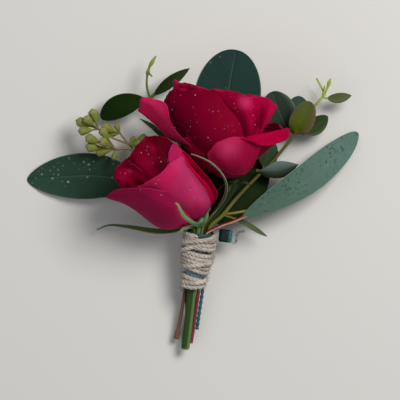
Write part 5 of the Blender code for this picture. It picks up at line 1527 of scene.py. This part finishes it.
def back_rose() -> Rose:
    """The upper rose, a broad cup that faces the viewer's right."""
    return Rose(
        name="rose_back", base=(20.8, 10.4, 25), heading=8, tilt=6, heart=(12, 42), sheets=BACK_SHEETS,
        petals=[Petal(0, 40, 36, ((0, 74), (0.3, 26), (0.8, 4), (1, 0)), INNER, drop=0.1),
                Petal(172, 40, 44, ((0, 72), (0.3, 20), (0.8, 4), (1, 10)), OUTER, drop=0.2),
                Petal(118, 38, 42, ((0, 72), (0.3, 26), (0.8, 10), (1, 20)), OUTER, drop=0.24),
                Petal(-118, 34, 43, ((0, 66), (0.3, 22), (0.8, 8), (1, 16)), OUTER, drop=0.24),
                Petal(72, 30, 43, ((0, 52), (0.35, 20), (0.75, -2), (1, 4)), INNER, wrap=1, drop=0.2),
                Petal(-105, 30, 45, ((0, 52), (0.35, 16), (0.75, 0), (1, 4)), INNER, wrap=1, drop=0.2)],
        sepals=((-20, 3.4, ((5.6, -2), (7.8, -3.4), (8.8, -5.4))),
                (58, 3.4, ((5.6, -2), (8.2, -2.8), (9.8, -3.8))), (-90, 4, ((5, -2.2), (7.5, -4), (9, -6))),
                (172, 4, ((5, -2.2), (7.5, -3.4), (9.5, -4.6)))),
        # The hip, sepals and top of the stem get dark greens: painted shade under the bloom.
        stem=BACK_STEM, radii=((0, 1.75), (0.75, 1.75), (1, 2)), dew_seed=8, green=tone(34, 48, 20),
        pale=tone(44, 60, 30),
    )


# Single leaves: each stalk is held in the binding.

# The left leaf's darker base tint is painted shadow of the roses.
LEFT_LEAF = Leaf((*Bundle.held((-4.5, -1.05)), (-8.6, -9, 10.2), (-26, 5.5, 5), (-42, 11.5, 6.4),
                  (-60, 12, 5.2), (-82.5, 10, 0.345)), 0.44, 23.4, (0, -0.15, 1), cup=0.12, skew=1,
                 full=0.62, tint=tone(34, 54, 40), tip=tone(46, 72, 58), under=tone(84, 108, 94), wet=1,
                 spots=(((-69, 4.5, 5), 2.2, tone(110, 90, 70)),))
TOP_LEAF = Leaf((*Bundle.held((-0.6, -4)), (8, -4, 7), (12.5, 16, 2.6), (15.5, 34, 0.9), (19, 56, 0.38),
                 (22.6, 75.6, 0.38)), 0.38, 33.5, cup=0, skew=1.464, full=0.46, waves=0,
                tint=tone(32, 52, 46), tip=tone(33, 57, 53), under=tone(84, 108, 98), wet=0.2)
RIGHT_LEAF = Leaf((*Bundle.held((2.4, 3.75))[:2], (8, -16.3, 21.4), (15.4, -12.6, 22.4), (26.9, -8, 21),
                   (54.8, 8.3, 16.5), (72.9, 23, 8.5), (83.9, 34, 0.31)), 0.27, 15.7, (-0.05, -0.1, 1),
                  cup=0.13, skew=1.2, full=0.54, stalk=0.75, tint=tone(72, 98, 84), tip=tone(86, 114, 105),
                  under=tone(112, 138, 122), stalks=(STALK_RED, tone(190, 150, 130)), wet=0.6)
INNER_LEAF = Leaf((*Bundle.held((1.2, -4.6)), (7.6, -11, 11), (9.6, -2, 14), (8.6, 8, 16), (4, 18, 17),
                   (-3.6, 32, 15)), 0.26, 16, (0, 0, 1), stalk=0.6, cup=0.1, full=0.55,
                  tint=tone(30, 44, 24), tip=tone(24, 36, 14), under=tone(60, 84, 50))
DARK_LEAF = Leaf((*Bundle.held((2.3, -4.05)), (12.6, -10, 10), (20.5, -1, 9), (29, 8, 8), (38, 20.5, 6)),
                 0.3, 21, (0.1, 0, 1), stalk=0.6, cup=0.12, full=0.6, tint=tone(24, 40, 12),
                 tip=tone(26, 42, 16), under=tone(60, 84, 50), stalks=(tone(80, 76, 30), tone(80, 76, 30)))
SLIM_LEAF = Leaf(
    (*Bundle.held((-3.35, 3.35), top=-0.06), (-0.6, -13.2, 20), (-4.6, -13.8, 16.2), (-9, -15.2, 14.2),
     (-18, -15.4, 13), (-32, -13.2, 11), (-41, -12.6, 9.5), (-47.3, -15, 8)),
    0.28, 6.6, (0, -0.8, 0.6), (0, -0.9, 0.35), stalk=0.5, cup=0.2, skew=0.66, full=0.9, waves=0.1,
    tint=tone(50, 58, 22), tip=tone(66, 88, 44), under=tone(140, 152, 136),
    edges=(tone(190, 196, 180), None), edge_start=0.3,
)
CURL_LEAF = Leaf(
    (*Bundle.held((0.9, 4.4)), (10.6, -7.4, 27.5), (16.4, 0.6, 36.5), (17.8, 7.2, 44), (15.6, 12.8, 50.5),
     (10.4, 18.2, 55.2), (4, 21.4, 53), (0.2, 22.6, 50)),
    0.3, 4.6, (-0.8, 0.5, 0.15), (-0.35, -0.9, 0.1), cup=0.1, skew=0.8, full=0.7, stalk=0.6, waves=0.1,
    tint=tone(84, 88, 42), tip=tone(110, 114, 86), under=tone(160, 172, 156),
    edges=(tone(160, 172, 156), None), edge_start=0.2,
)


@dataclass
class Twig:
    """A twig of a sprig: its middle line, radii and tints along its length."""

    points: tuple
    radii: float | tuple
    tints: tuple
    sides: int = 10
    rows: int = 14
    round_end: bool = True

    def lay(self, skin: Skin) -> None:
        """Adds it to a skin."""
        skin.tube(self.points, self.radii, self.tints, self.sides, self.rows, 0.04, self.round_end)


@dataclass
class Sprig:
    """A twig with its leaves and shoots, grown as one piece."""

    name: str
    twigs: Sequence[Twig]
    leaves: Sequence[Leaf]

    def build(self, twig_finish: Material, leaf_finish: Material, slot: Slot) -> None:
        """Builds its wood and its leaves."""
        wood = Skin()
        for twig in self.twigs:
            twig.lay(wood)
        wood.settle(self.name, "twigs", twig_finish, slot)
        blades = Skin()
        for leaf in self.leaves:
            leaf.lay(blades, 4, 24)
        blades.settle(self.name, "leaves", leaf_finish, slot)


SHOOT = tone(150, 168, 60)


def right_sprig() -> Sprig:
    """The young eucalyptus sprig on the right: a twig through the binding, leaves and a shoot tip."""
    twig = (*Bundle.line((1.9, 1.95, 0.4), (1.5, 2.5, 0.8), (1, 3.1, 1), (0.5, 4.2, 1.2)),
            *Bundle.held((4.3, 1.4))[1:], (15.6, -7.8, 19.4), (23.2, 1.4, 18.8), (33.2, 11.8, 15),
            (41.5, 20, 13.5), (53, 34.2, 12.5), (61.5, 46.4, 12), (67.4, 53.2, 11.5))
    radii = ((0.0, 0.95), (0.35, 0.95), (0.8, 0.8), (1.0, 0.55))
    olive, bright = tone(86, 80, 36), tone(104, 102, 44)
    bark = ((0, tone(176, 130, 120)), (0.01, tone(120, 50, 54)), (0.3, tone(122, 50, 56)), (0.45, bright),
            (0.6, olive), (0.85, olive), (1, SHOOT))
    green = even(SHOOT)
    base, fold_brown = tone(86, 96, 12), tone(84, 74, 50)
    leaves = [
        Leaf(((52, 33.6, 12.4), (47.6, 37, 10.5), (43.8, 45.6, 8.5), (40.6, 54.4, 5.6)), 0.14, 16.6,
             (0.1, -0.15, 1), skew=0.95, full=0.5, tint=tone(36, 50, 40), tip=tone(42, 56, 46),
             edges=(None, tone(84, 96, 82)), edge_start=0.75),
        Leaf(((52.5, 34, 12.2), (52.6, 38, 8), (53.6, 45.2, 5.5), (54.6, 52.2, 4.2)), 0.16, 14,
             (0.15, -0.15, 1), full=0.52, tint=tone(46, 64, 54), tip=tone(50, 70, 60)),
        Leaf(((51.8, 33, 12.6), (54, 36.8, 17), (57, 43, 19), (59.6, 49.2, 19.5)), 0.1, 12.2,
             (-0.1, -0.15, 1), cup=0.3, full=0.42, tint=base, tip=tone(78, 88, 44), under=fold_brown,
             edges=(tone(84, 82, 44), tone(112, 88, 70)), edge_start=0.4),
        Leaf(((53.4, 34.4, 12.4), (57, 35.2, 11), (62.5, 37.4, 10), (68.6, 42, 9)), 0.12, 9.2, (0, -0.2, 1),
             cup=0.25, full=0.6, tint=tone(48, 62, 30), tip=tone(46, 64, 34), under=tone(90, 96, 70),
             edges=(None, tone(84, 92, 66)), edge_start=0.7),
        Leaf(((66, 51.6, 11.5), (68.4, 51, 11.4), (74, 51.2, 11), (80.4, 52.4, 10)), 0.16, 5.2, (0, -0.1, 1),
             full=0.7, stalk=0.5, tint=tone(80, 92, 50), tip=tone(84, 92, 60), stalks=(SHOOT, SHOOT)),
        Leaf(((32.6, 14.8, 15), (38, 14, 16.5), (45, 14.9, 15.5), (53.8, 17.8, 13)), 0.06, 9.2,
             (-0.1, 0.3, 0.95), cup=0.3, full=1, skew=1, tint=tone(46, 60, 44), tip=tone(58, 72, 62),
             under=tone(70, 84, 60), edges=(tone(94, 112, 110), tone(18, 26, 8)), edge_start=-0.25),
        Leaf(((35.6, 14, 14.6), (37.6, 18.6, 12), (38.6, 24.6, 10), (38.8, 31.6, 8)), 0.14, 10.6,
             (0.1, 0, 1), full=0.6, tint=tone(44, 60, 38), tip=tone(48, 64, 46)),
        Leaf(((15.6, -7.4, 18.2), (20, -8.6, 17.6), (28, -12, 15.5), (38, -18.2, 12.5)), 0.24, 2.9,
             (-0.15, -0.3, 0.95), full=0.6, stalk=0.5, skew=1, waves=0.1, tint=tone(88, 102, 68),
             tip=tone(96, 106, 80), stalks=(olive, tone(130, 140, 70))),
    ]
    shoots = [Twig(((67, 52.8, 11.5), (65.6, 56, 12.5), (63, 60.8, 13.5)), ((0, 0.5), (1, 0.42)), green),
              Twig(((66.6, 52.4, 11.4), (68.2, 55.8, 11.8), (69.8, 60.4, 12.2)),
                   ((0, 0.5), (0.45, 0.5), (0.8, 1), (1, 0.5)), green),
              Twig(((65.8, 51.4, 11.5), (66.4, 54.2, 12.8), (67, 57, 14)), ((0, 0.45), (1, 0.4)), green),
              Twig(((15.9, -7, 18.1), (21, -6.6, 17.6), (27.6, -5.4, 17)), ((0, 0.7), (1, 0.6)),
                   ((0, bright), (1, tone(140, 124, 60))))]
    return Sprig("sprig_right", [Twig(twig, radii, bark, 12, 110, False), *shoots], leaves)


def left_sprig() -> Sprig:
    """The green sprig at the upper left: a twig with a leaf pair, a narrow leaf and a shoot."""
    twig = (*Bundle.held((-2.8, -2.95)), (-1, 4, 5.4), (-4, 23, 6), (-11, 38, 8.4), (-20.6, 51, 12))
    green = tone(84, 96, 36)
    leaves = [Leaf(((-20.2, 50.4, 12), (-25, 50, 12.4), (-36, 47, 11), (-45.2, 41, 8)), 0.1, 11.6,
                   (0.05, -0.05, 1), skew=1.1, full=0.55, tint=tone(23, 43, 5), tip=tone(21, 38, 6),
                   stalks=(green, green)),
              Leaf(((-20.4, 51, 12), (-17, 54, 12.6), (-9.5, 60, 12.4), (-0.8, 66, 10.6)), 0.1, 5.8,
                   (0.1, -0.2, 1), cup=0.22, full=0.75, tint=tone(26, 38, 11), tip=tone(40, 54, 26),
                   under=tone(54, 70, 40), stalks=(green, green)),
              Leaf(((-8.2, 33.4, 7.4), (-14, 32.4, 9), (-19.5, 37, 12.6), (-25.4, 40.6, 14.2)), 0.1, 2.6,
                   (0, -0.2, 1), cup=0.1, full=0.7, waves=0.05, tint=tone(44, 60, 34), tip=tone(70, 86, 52))]
    shoot = ((-20.6, 50.6, 12.0), (-22.2, 58.0, 13.0), (-21.2, 65.6, 14.0), (-17.8, 71.8, 14.4))
    thick = ((0.0, 0.6), (0.5, 0.55), (0.62, 0.95), (0.7, 0.6), (0.84, 1.0), (1.0, 0.5))
    return Sprig("sprig_left",
                 [Twig(twig, ((0, 0.9), (1, 0.8)), ((0, BARK_OLIVE), (1, green)), 10, 50),
                  Twig(shoot, thick,
                       ((0, tone(80, 98, 36)), (0.5, tone(100, 118, 44)), (1, tone(140, 150, 56))), 12, 40),
                  Twig(((-21.6, 64.2, 14), (-20.6, 63, 14.6), (-19.6, 62, 14.8)), ((0, 0.55), (1, 0.4)),
                       ((0, green), (1, tone(120, 112, 60))))], leaves)


# The eucalyptus bud spray: twigs that end in umbels of top-shaped buds.


@dataclass
class BudSpray:
    """Twigs that end in umbels. Each umbel is a node with buds of (heading, length, lift)."""

    umbels: tuple = (
        ((-46.3, 35.4, 17), ((108, 10.7, 2.5), (139, 10, 5), (158, 12, 0.5), (186, 10.9, 2))),
        ((-37.9, 25.4, 16),
         ((175, 15, 1.5), (148, 9.4, 6), (125, 13.4, 3.5), (157, 16.4, 4.5), (188, 9.8, -2.5),
          (262, 5.6, -1))),
        ((-35.5, 33.4, 14.5), ((159, 10.2, 3), (115, 5.7, 0.5), (182, 6.8, -2))),
        ((-31.3, 27.8, 13.5), ((22, 11, 1.5), (4, 7.6, 3), (52, 5.6, -1))),
    )
    head: float = 8.8
    rib: float = 0.05
    green: Colour = tone(118, 126, 56)
    tan: Colour = tone(140, 134, 84)

    def build(self, finish: Material) -> None:
        """Builds the twigs and stalks, and sets a bud on the end of each stalk."""
        skin = Skin()
        main = (*Bundle.line((1.87, -5.7, -0.7), (1.5, -4.6, -0.7), (1, -3.7, -0.6), (0.5, -4.2, 0.2)),
                *Bundle.held((-4.3, 1.3))[1:], (-4.4, -4, 13.6), (-18, 15, 9.8), (-29.5, 25, 13.5),
                (-37.9, 25.4, 16))
        cut, low, tip = tone(118, 80, 62), tone(100, 72, 60), tone(124, 108, 78)
        bark = ((0.0, cut), (0.25, low), (0.6, BARK_OLIVE), (1.0, tip))
        thick = ((0.0, 1.3), (0.02, 1.25), (0.05, 0.85), (0.5, 0.85), (1.0, 0.7))
        skin.tube(main, thick, bark, 12, 120, 0.08)
        pinkish = ((0.0, tone(118, 98, 72)), (1.0, tone(126, 118, 76)))
        for points in (
            ((-27.0, 22.6, 12.4), (-31.3, 27.8, 13.5), (-39.1, 31.0, 16.5), (-46.3, 35.4, 17.0)),
            ((-31.3, 27.8, 13.5), (-34.2, 31.6, 14.8), (-35.5, 33.4, 14.5)),
        ):
            skin.tube(points, 0.5, pinkish, 8, 16)
        places, aims, sizes = [], [], []
        for node, buds in self.umbels:
            for heading, length, lift in buds:
                turn = radians(heading)
                way = Vector((cos(turn) * length, sin(turn) * length, lift))
                aims.append(way.normalized())
                sizes.append(min(1.0, way.length / self.head))
                places.append(Vector(node) + way - aims[-1] * (self.head * sizes[-1]))
                skin.tube((node, Vector(node) + way * 0.5), ((0.0, 0.4), (1.0, 0.5)), pinkish, 8, 8)
        skin.settle("bud_spray", "twigs", finish, Slot.BUD)
        host = bare_mesh("bud_places", places)
        aim = host.attributes.new("aim", "FLOAT_VECTOR", "POINT")
        aim.data.foreach_set("vector", [value for way in aims for value in way])
        host.attributes.new("size", "FLOAT", "POINT").data.foreach_set("value", sizes)
        head = bpy.data.objects.new("bud_head", self.head_skin().mesh("bud_head", finish))
        inputs = {"Piece": head, "Finish": finish, "Smallest": 0.92, "Largest": 1.06, "Seed": 4}
        place("bud_spray_heads", grown(host, cluster_tree(), inputs), Slot.BUD, ["bud_spray"])

    def head_skin(self, sides: int = 24) -> Skin:
        """A bud: a ribbed cup that swells to a rim, closed by a low cone."""
        skin = Skin()
        profile = ((0, 0.45), (0.12, 0.62), (0.25, 1.1), (0.42, 1.75), (0.6, 2.25), (0.76, 2.4), (0.83, 2.3),
                   (0.88, 1.8), (0.92, 1.15), (0.97, 0.5), (1, 0.2))
        rings, grain, tints = [], [], []
        for share, radius in profile:
            ring = []
            for k, turn in enumerate(round_turns(sides)):
                rise = ease(share / 0.4) * (1.0 if share < 0.82 else 0.2)
                rib = 1.0 + self.rib * cos(4.0 * turn) * rise
                across, deep = radius * rib * cos(turn), radius * rib * sin(turn)
                ring.append(Vector((across, deep, share * self.head)))
                grain.append((k / sides, share))
                tints.append(blend(self.green, self.tan, ease((share - 0.7) / 0.16)))
            rings.append(ring)
        skin.loft(rings, grain, tints)
        return skin


# The binding.


@dataclass
class Binding:
    """Jute twine wound round the stems over a sleeve of tape.

    half_widths and half_depths are tables of its oval along its height, pitch the twine's thickness,
    tilt a table of how much lower a turn runs on the right as a share of the height, gaps the turns
    at which it opens to show the tape, with the width of each gap, tuck how deep its start is pushed
    under, and laps the loose turns that cross the others, as (share of the height, degrees round it).
    twist is the length in which the plies go once round each other.
    """

    half_widths: tuple = ((0.0, 8.5), (0.4, 8.7), (0.75, 7.3), (1.0, 6.15))
    half_depths: tuple = ((0.0, 8.1), (0.4, 8.0), (0.75, 6.9), (1.0, 6.25))
    pitch: float = 2.0
    tilt: tuple = ((0.0, 0.03), (0.35, 0.045), (0.72, 0.075), (0.9, 0.03), (1.0, 0.0))
    gaps: tuple = ((3.15, 1.5), (8.12, 2.9))
    tuck: float = 2.2
    laps: tuple = (((0.04, 10), (0.07, 60), (0.13, 110), (0.2, 160), (0.24, 210)),
                   ((0.2, 84), (0.25, 118), (0.34, 155), (0.42, 190), (0.47, 235)),
                   ((0.46, -20), (0.5, 30), (0.54, 80), (0.6, 130), (0.64, 185)),
                   ((0.8, -10), (0.84, 40), (0.88, 90), (0.9, 140), (0.9, 190)),
                   ((0.955, 40), (0.965, 90), (0.965, 140), (0.96, 200)))
    twist: float = 6.5
    ply_offset: float = 0.56
    ply_radius: float = 0.66
    tape_inset: float = 1.95
    tape_wall: float = 0.6

    @property
    def height(self) -> float:
        """The length of the binding along the stems."""
        return (Bundle.foot - Bundle.top).length

    def ring_point(self, share: float, turn: float, depth: float) -> Vector:
        """A point of the oval at a share of the height, a depth inside its surface."""
        across = (along_table(self.half_widths, share) - depth) * cos(turn)
        front = (along_table(self.half_depths, share) - depth) * sin(turn)
        return Bundle.point(share, across, front)

    def centreline(self) -> list[Vector]:
        """The middle line of the wound twine."""
        low, high = self.pitch * 0.5, self.height - self.pitch * 0.5
        turns = (high - low - sum(width for _, width in self.gaps)) / self.pitch
        steps = int(turns * 64)
        points = []
        for i in range(steps + 1):
            wound = turns * i / steps
            run = low + wound * self.pitch
            run += sum(width * ease((wound - start) / 0.5) for start, width in self.gaps)
            turn = pi / 2.0 + TURN * wound
            slack = ease(min(run - low, high - run) / (1.5 * self.pitch))
            share = run / self.height
            share += along_table(self.tilt, share) * cos(turn) * slack
            wander = 0.5 * ripple(Vector((wound * 4.0, 0.0, 0.0)), 1.0, 6.0)
            under = self.tuck * (1.0 - ease(wound / 0.12))
            points.append(self.ring_point(share + wander * 0.02, turn, 1.15 + 0.5 * wander + under))
        return points

    def crossing(self, lap: Table) -> list[Vector]:
        """The middle line of one loose turn, which rises over the others and dips under at its ends."""
        count = len(lap) - 1
        rises = [1.3 - 1.35 * sin(pi * i / count) ** 0.6 for i in range(count + 1)]
        return smooth_path([self.ring_point(s, radians(d), rise) for (s, d), rise in zip(lap, rises)])

    def tail(self) -> list[Vector]:
        """The middle line of the twine's cut end, which stands off the lower left."""
        foot = Bundle.point(0.98, -4.9, 0.4)
        return smooth_path((foot, foot + Vector((-0.8, -1.5, -0.4)), foot + Vector((-2.0, -3.2, -1.2))))

    def build(self, twine: Material, tape: Material, strewer: Strewer) -> None:
        """Winds the twine, lays the tape under it and strews loose fibres over it."""
        points, edges = [], []
        for line in (self.centreline(), self.tail(), *(self.crossing(lap) for lap in self.laps)):
            edges += [(len(points) + i, len(points) + i + 1) for i in range(len(line) - 1)]
            points += line
        host = bare_mesh("twine_lines", points, edges)
        inputs = {
            "Step": 0.5 * MM, "Twist Length": self.twist * MM, "Ply Offset": self.ply_offset * MM,
            "Ply Radius": self.ply_radius * MM, "Finish": twine,
        }
        place("twine_wrap_turns", grown(host, twine_tree(), inputs), Slot.TWINE, ["twine_wrap"])
        cover = self.sleeve(0.02, 0.98, 40, 48, 0.15, 1.0, 0.0, even(WHITE))
        inputs = {
            "Piece": strewer.fibre, "Spacing": 0.5 * MM, "Density": 1.1e6, "Smallest": 0.7, "Largest": 2.2,
            "Lean": 1.1, "Seed": 12, "Finish": twine,
        }
        fibres = grown(cover.mesh("twine_cover", twine), strewer.tree, inputs)
        place("twine_wrap_fibres", fibres, Slot.TWINE, ["twine_wrap"])
        teal, shaded, slate = tone(89, 140, 132), tone(127, 129, 129), tone(212, 216, 218)
        tints = ((0.0, teal), (0.16, teal), (0.24, shaded), (0.5, shaded), (0.62, slate), (1.0, slate))
        sleeve = self.sleeve(-0.01, 0.93, 40, 56, self.tape_inset, self.tape_wall, 0.12, tints)
        sleeve.settle("tape_sleeve", "tape", tape, Slot.TAPE)

    def sleeve(
        self, top: float, foot: float, rows: int, sides: int, depth: float, wall: float, rough: float,
        tints: TintTable,
    ) -> Skin:
        """A closed sleeve on the binding's oval.

        Args:
            top: the share of the height where it starts.
            foot: the share where it ends.
            rows: the rings along it.
            sides: the faces round it.
            depth: how far its outside lies inside the binding's surface.
            wall: its thickness.
            rough: the height of its creases.
            tints: a table of its tint along the binding's height.

        Returns:
            Its skin, wet all over, so that a tree may strew on it.
        """
        shares = [mix(top, foot, i / rows) for i in range(rows + 1)]
        rings, colours = [], []
        for share, into in [(s, depth) for s in shares] + [(s, depth + wall) for s in reversed(shares)]:
            colours += [along_table(tints, share)] * sides
            turns = [(turn, rough * sin(turn * 2.0 + share * 70.0)) for turn in round_turns(sides)]
            rings.append([self.ring_point(share, turn, into + crease) for turn, crease in turns])
        points = [p for ring in rings for p in ring]
        faces = ring_faces(len(rings), sides, joined=True)
        wet = [1.0 if i <= rows else 0.0 for i in range(len(rings)) for _ in range(sides)]
        skin = Skin()
        skin.add(points, faces, [(0.5, 0.5)] * len(points), colours, wet)
        return skin


@dataclass
class TapedWire:
    """The florist's wire in its spiral of tape, which ends above the cut stems."""

    radius: float = 0.82
    swell: float = 0.14
    laps: int = 9

    def build(self, finish: Material) -> None:
        """Builds it."""
        line = Bundle.line((0.88, 4.4, -2.0), (1.0, 5.0, -1.6), (1.35, 4.6, -1.5), (1.68, 4.2, -1.6))
        rows = self.laps * 10
        lapped = [self.swell * cos(TURN * self.laps * i / rows) for i in range(rows + 1)]
        beads = [(i / rows, self.radius + bead) for i, bead in enumerate(lapped)]
        skin = Skin()
        skin.tube(line, beads, even(WHITE), 16, rows, 0.05)
        skin.settle("taped_wire", "lapped", finish, Slot.TAPE)


@dataclass
class Pin:
    """The pin beside the binding: its taped tab and its bright bent wire."""

    origin: Point = (13.0, -17.6, 12.6)
    turn: float = -7.0
    low: Point = (0.9, -3.1, -1.6)
    high: Point = (7.6, 3.4, 1.6)
    soften: float = 0.6
    sides: int = 24
    wire: tuple = ((7.9, -2.4, 0), (9.4, -2.6, 0), (10, -1.6, 0), (10.1, 1.2, 0.1), (10.9, 2.6, 0.4),
                   (13.4, 3.6, 0.9))

    def build(self, tape: Material, steel: Material) -> None:
        """Builds the tab and the wire."""
        frame = Matrix.Translation(Vector(self.origin)) @ Matrix.Rotation(radians(self.turn), 4, "Z")
        dark = tone(58, 84, 72)
        (x0, y0, z0), (x1, y1, z1) = self.low, self.high
        mid = Vector((0.0, (y0 + y1) / 2.0, (z0 + z1) / 2.0))
        half = ((y1 - y0) / 2.0, (z1 - z0) / 2.0)
        rings, tints = [], []
        shares = [0.0, 0.03, 0.09, 0.3, 0.5, 0.68, 0.74, 0.8, 0.91, 0.97, 1.0]
        for share in shares:
            inset = self.soften * (1.0 - ease(min(share, 1.0 - share) / 0.09))
            ring = []
            for angle in round_turns(self.sides):
                wide, deep = cos(angle), sin(angle)
                y = copysign(abs(wide) ** 0.35, wide) * (half[0] - inset)
                z = copysign(abs(deep) ** 0.5, deep) * (half[1] - inset)
                ring.append(frame @ (mid + Vector((mix(x0, x1, share), y, z))))
                tints.append(blend(dark, WHITE, ease((share - 0.7) / 0.12)))
            rings.append(ring)
        grain = [(0.5, share) for share in shares for _ in range(self.sides)]
        skin = Skin()
        skin.loft(rings, grain, tints)
        skin.settle("clasp_tape", "tab", tape, Slot.TAPE)
        wire = Skin()
        wire.tube([frame @ Vector(p) for p in self.wire], 0.6, even(WHITE), 14, 48, 0.0, True)
        wire.settle("clasp_loop", "wire", steel, Slot.STEEL)


# The studio.


@dataclass
class Studio:
    """A pale floor, soft light from the upper right and a camera straight above."""

    camera_place: Point = (0.0045, 0.0, 3.02)
    lens: float = 540.0
    sensor: float = 36.0
    floor_size: float = 4.0
    floor_tone: Colour = tone(214, 212, 208)
    world_tone: Colour = (0.55, 0.57, 0.6)
    world_strength: float = 0.4

    def build(self) -> None:
        """Sets up the floor, lights, world and camera."""
        scene = bpy.context.scene
        half = self.floor_size / 2.0
        mesh = bpy.data.meshes.new("floor")
        corners = [(-half, -half, 0.0), (half, -half, 0.0), (half, half, 0.0), (-half, half, 0.0)]
        mesh.from_pydata(corners, [], [(0, 1, 2, 3)])
        matt = Finish("floor", Base_Color=self.floor_tone, Roughness=0.9, Specular_IOR_Level=0.1)
        mesh.materials.append(matt.material)
        floor = linked("floor", mesh)
        self.lamp("key", (0.5, 0.45, 1.0), 0.5, 12.0, (1.0, 0.98, 0.95))
        self.lamp("fill", (-0.7, -0.3, 0.9), 0.9, 2.0, (0.94, 0.97, 1.0))
        world = bpy.data.worlds.new("studio")
        world.use_nodes = True
        back = world.node_tree.nodes["Background"]
        back.inputs["Color"].default_value = (*self.world_tone, 1.0)
        back.inputs["Strength"].default_value = self.world_strength
        scene.world = world
        lens = bpy.data.cameras.new("camera")
        lens.lens, lens.sensor_width, lens.clip_end = self.lens, self.sensor, 20.0
        camera = linked("camera", lens)
        camera.location = self.camera_place
        scene.camera = camera
        scene.view_settings.view_transform = "Standard"

    def lamp(self, name: str, where: Point, size: float, power: float, tint: Colour) -> None:
        """Adds a soft square light that looks at the bouquet."""
        light = bpy.data.lights.new(name, "AREA")
        light.size, light.energy, light.color = size, power, tint
        lamp = linked(name, light)
        lamp.location = where
        lamp.rotation_euler = (-Vector(where)).to_track_quat("-Z", "Y").to_euler()


def lay_leaf(leaves: Sequence[Leaf], node: str, slot: Slot, finish: Material) -> Object:
    """Builds a leaf, or a few that grow together, as one piece, and returns it."""
    skin = Skin()
    for leaf in leaves:
        leaf.lay(skin, 30, 60, HALF_BLADE)
    return skin.settle(node, "blade", finish, slot)


def main() -> None:
    """Builds the bouquet and its studio."""
    logging.basicConfig(level=logging.INFO, format="%(name)s: %(message)s")
    strewer = Strewer()
    petal = PetalFinish().build()
    green = StemFinish("green").build()
    wood = StemFinish("wood", streak=0.5, gloss=0.55).build()
    grey, pale, dark, young = (
        LeafFinish("leaf_" + name, tone(*rib), tone(*edge), **settings).build()
        for name, rib, edge, settings in (
            ("grey", (80, 104, 90), (110, 130, 114), {"rib_share": 0.4, "vein_share": 0.03, "speckle": 0.2}),
            ("pale", (150, 176, 158), (160, 180, 160),
             {"rib_share": 0.14, "vein_share": 0.015, "drops": 0.45, "speckle": 0.2}),
            ("dark", (64, 84, 44), (70, 90, 50), {"rib_share": 0.2, "vein_share": 0.03, "patches": 0.35}),
            ("young", (112, 124, 84), (124, 128, 104), {"rib_share": 0.3, "side_veins": 7.0}),
        )
    )
    crepe = TapeFinish("tape", tone(16, 76, 82), tone(52, 124, 128)).build()
    steel = SteelFinish().build()
    for rose in (front_rose(), back_rose()):
        rose.bloom(petal, strewer)
        rose.greens(green)
    for leaf, node, slot, finish, seed, drops, spacing in (
        (LEFT_LEAF, "leaf_left", Slot.LEAF_GREY, grey, 5, (0.6, 1.6), 2.2),
        (TOP_LEAF, "leaf_top", Slot.LEAF_GREY, grey, 6, (0.4, 1.0), 2.0),
        (RIGHT_LEAF, "leaf_right", Slot.LEAF_PALE, pale, 7, (0.4, 1.0), 1.8),
    ):
        strewer.dewed(lay_leaf((leaf,), node, slot, finish), seed, drops, spacing, strewer.leaf_dew)
    lay_leaf((DARK_LEAF, INNER_LEAF), "leaf_dark", Slot.LEAF_GREEN, dark)
    lay_leaf((SLIM_LEAF,), "leaf_slim", Slot.LEAF_GREEN, young)
    lay_leaf((CURL_LEAF,), "leaf_curl", Slot.LEAF_GREY, young)
    right_sprig().build(wood, young, Slot.LEAF_GREY)
    left_sprig().build(wood, dark, Slot.LEAF_GREEN)
    BudSpray().build(wood)
    faded = TapeFinish("tape_faded", tone(92, 116, 130), tone(134, 158, 172)).build()
    Binding().build(TwineFinish().build(), faded, strewer)
    TapedWire().build(crepe)
    Pin().build(crepe, steel)
    Studio().build()


if __name__ == "__main__":
    main()
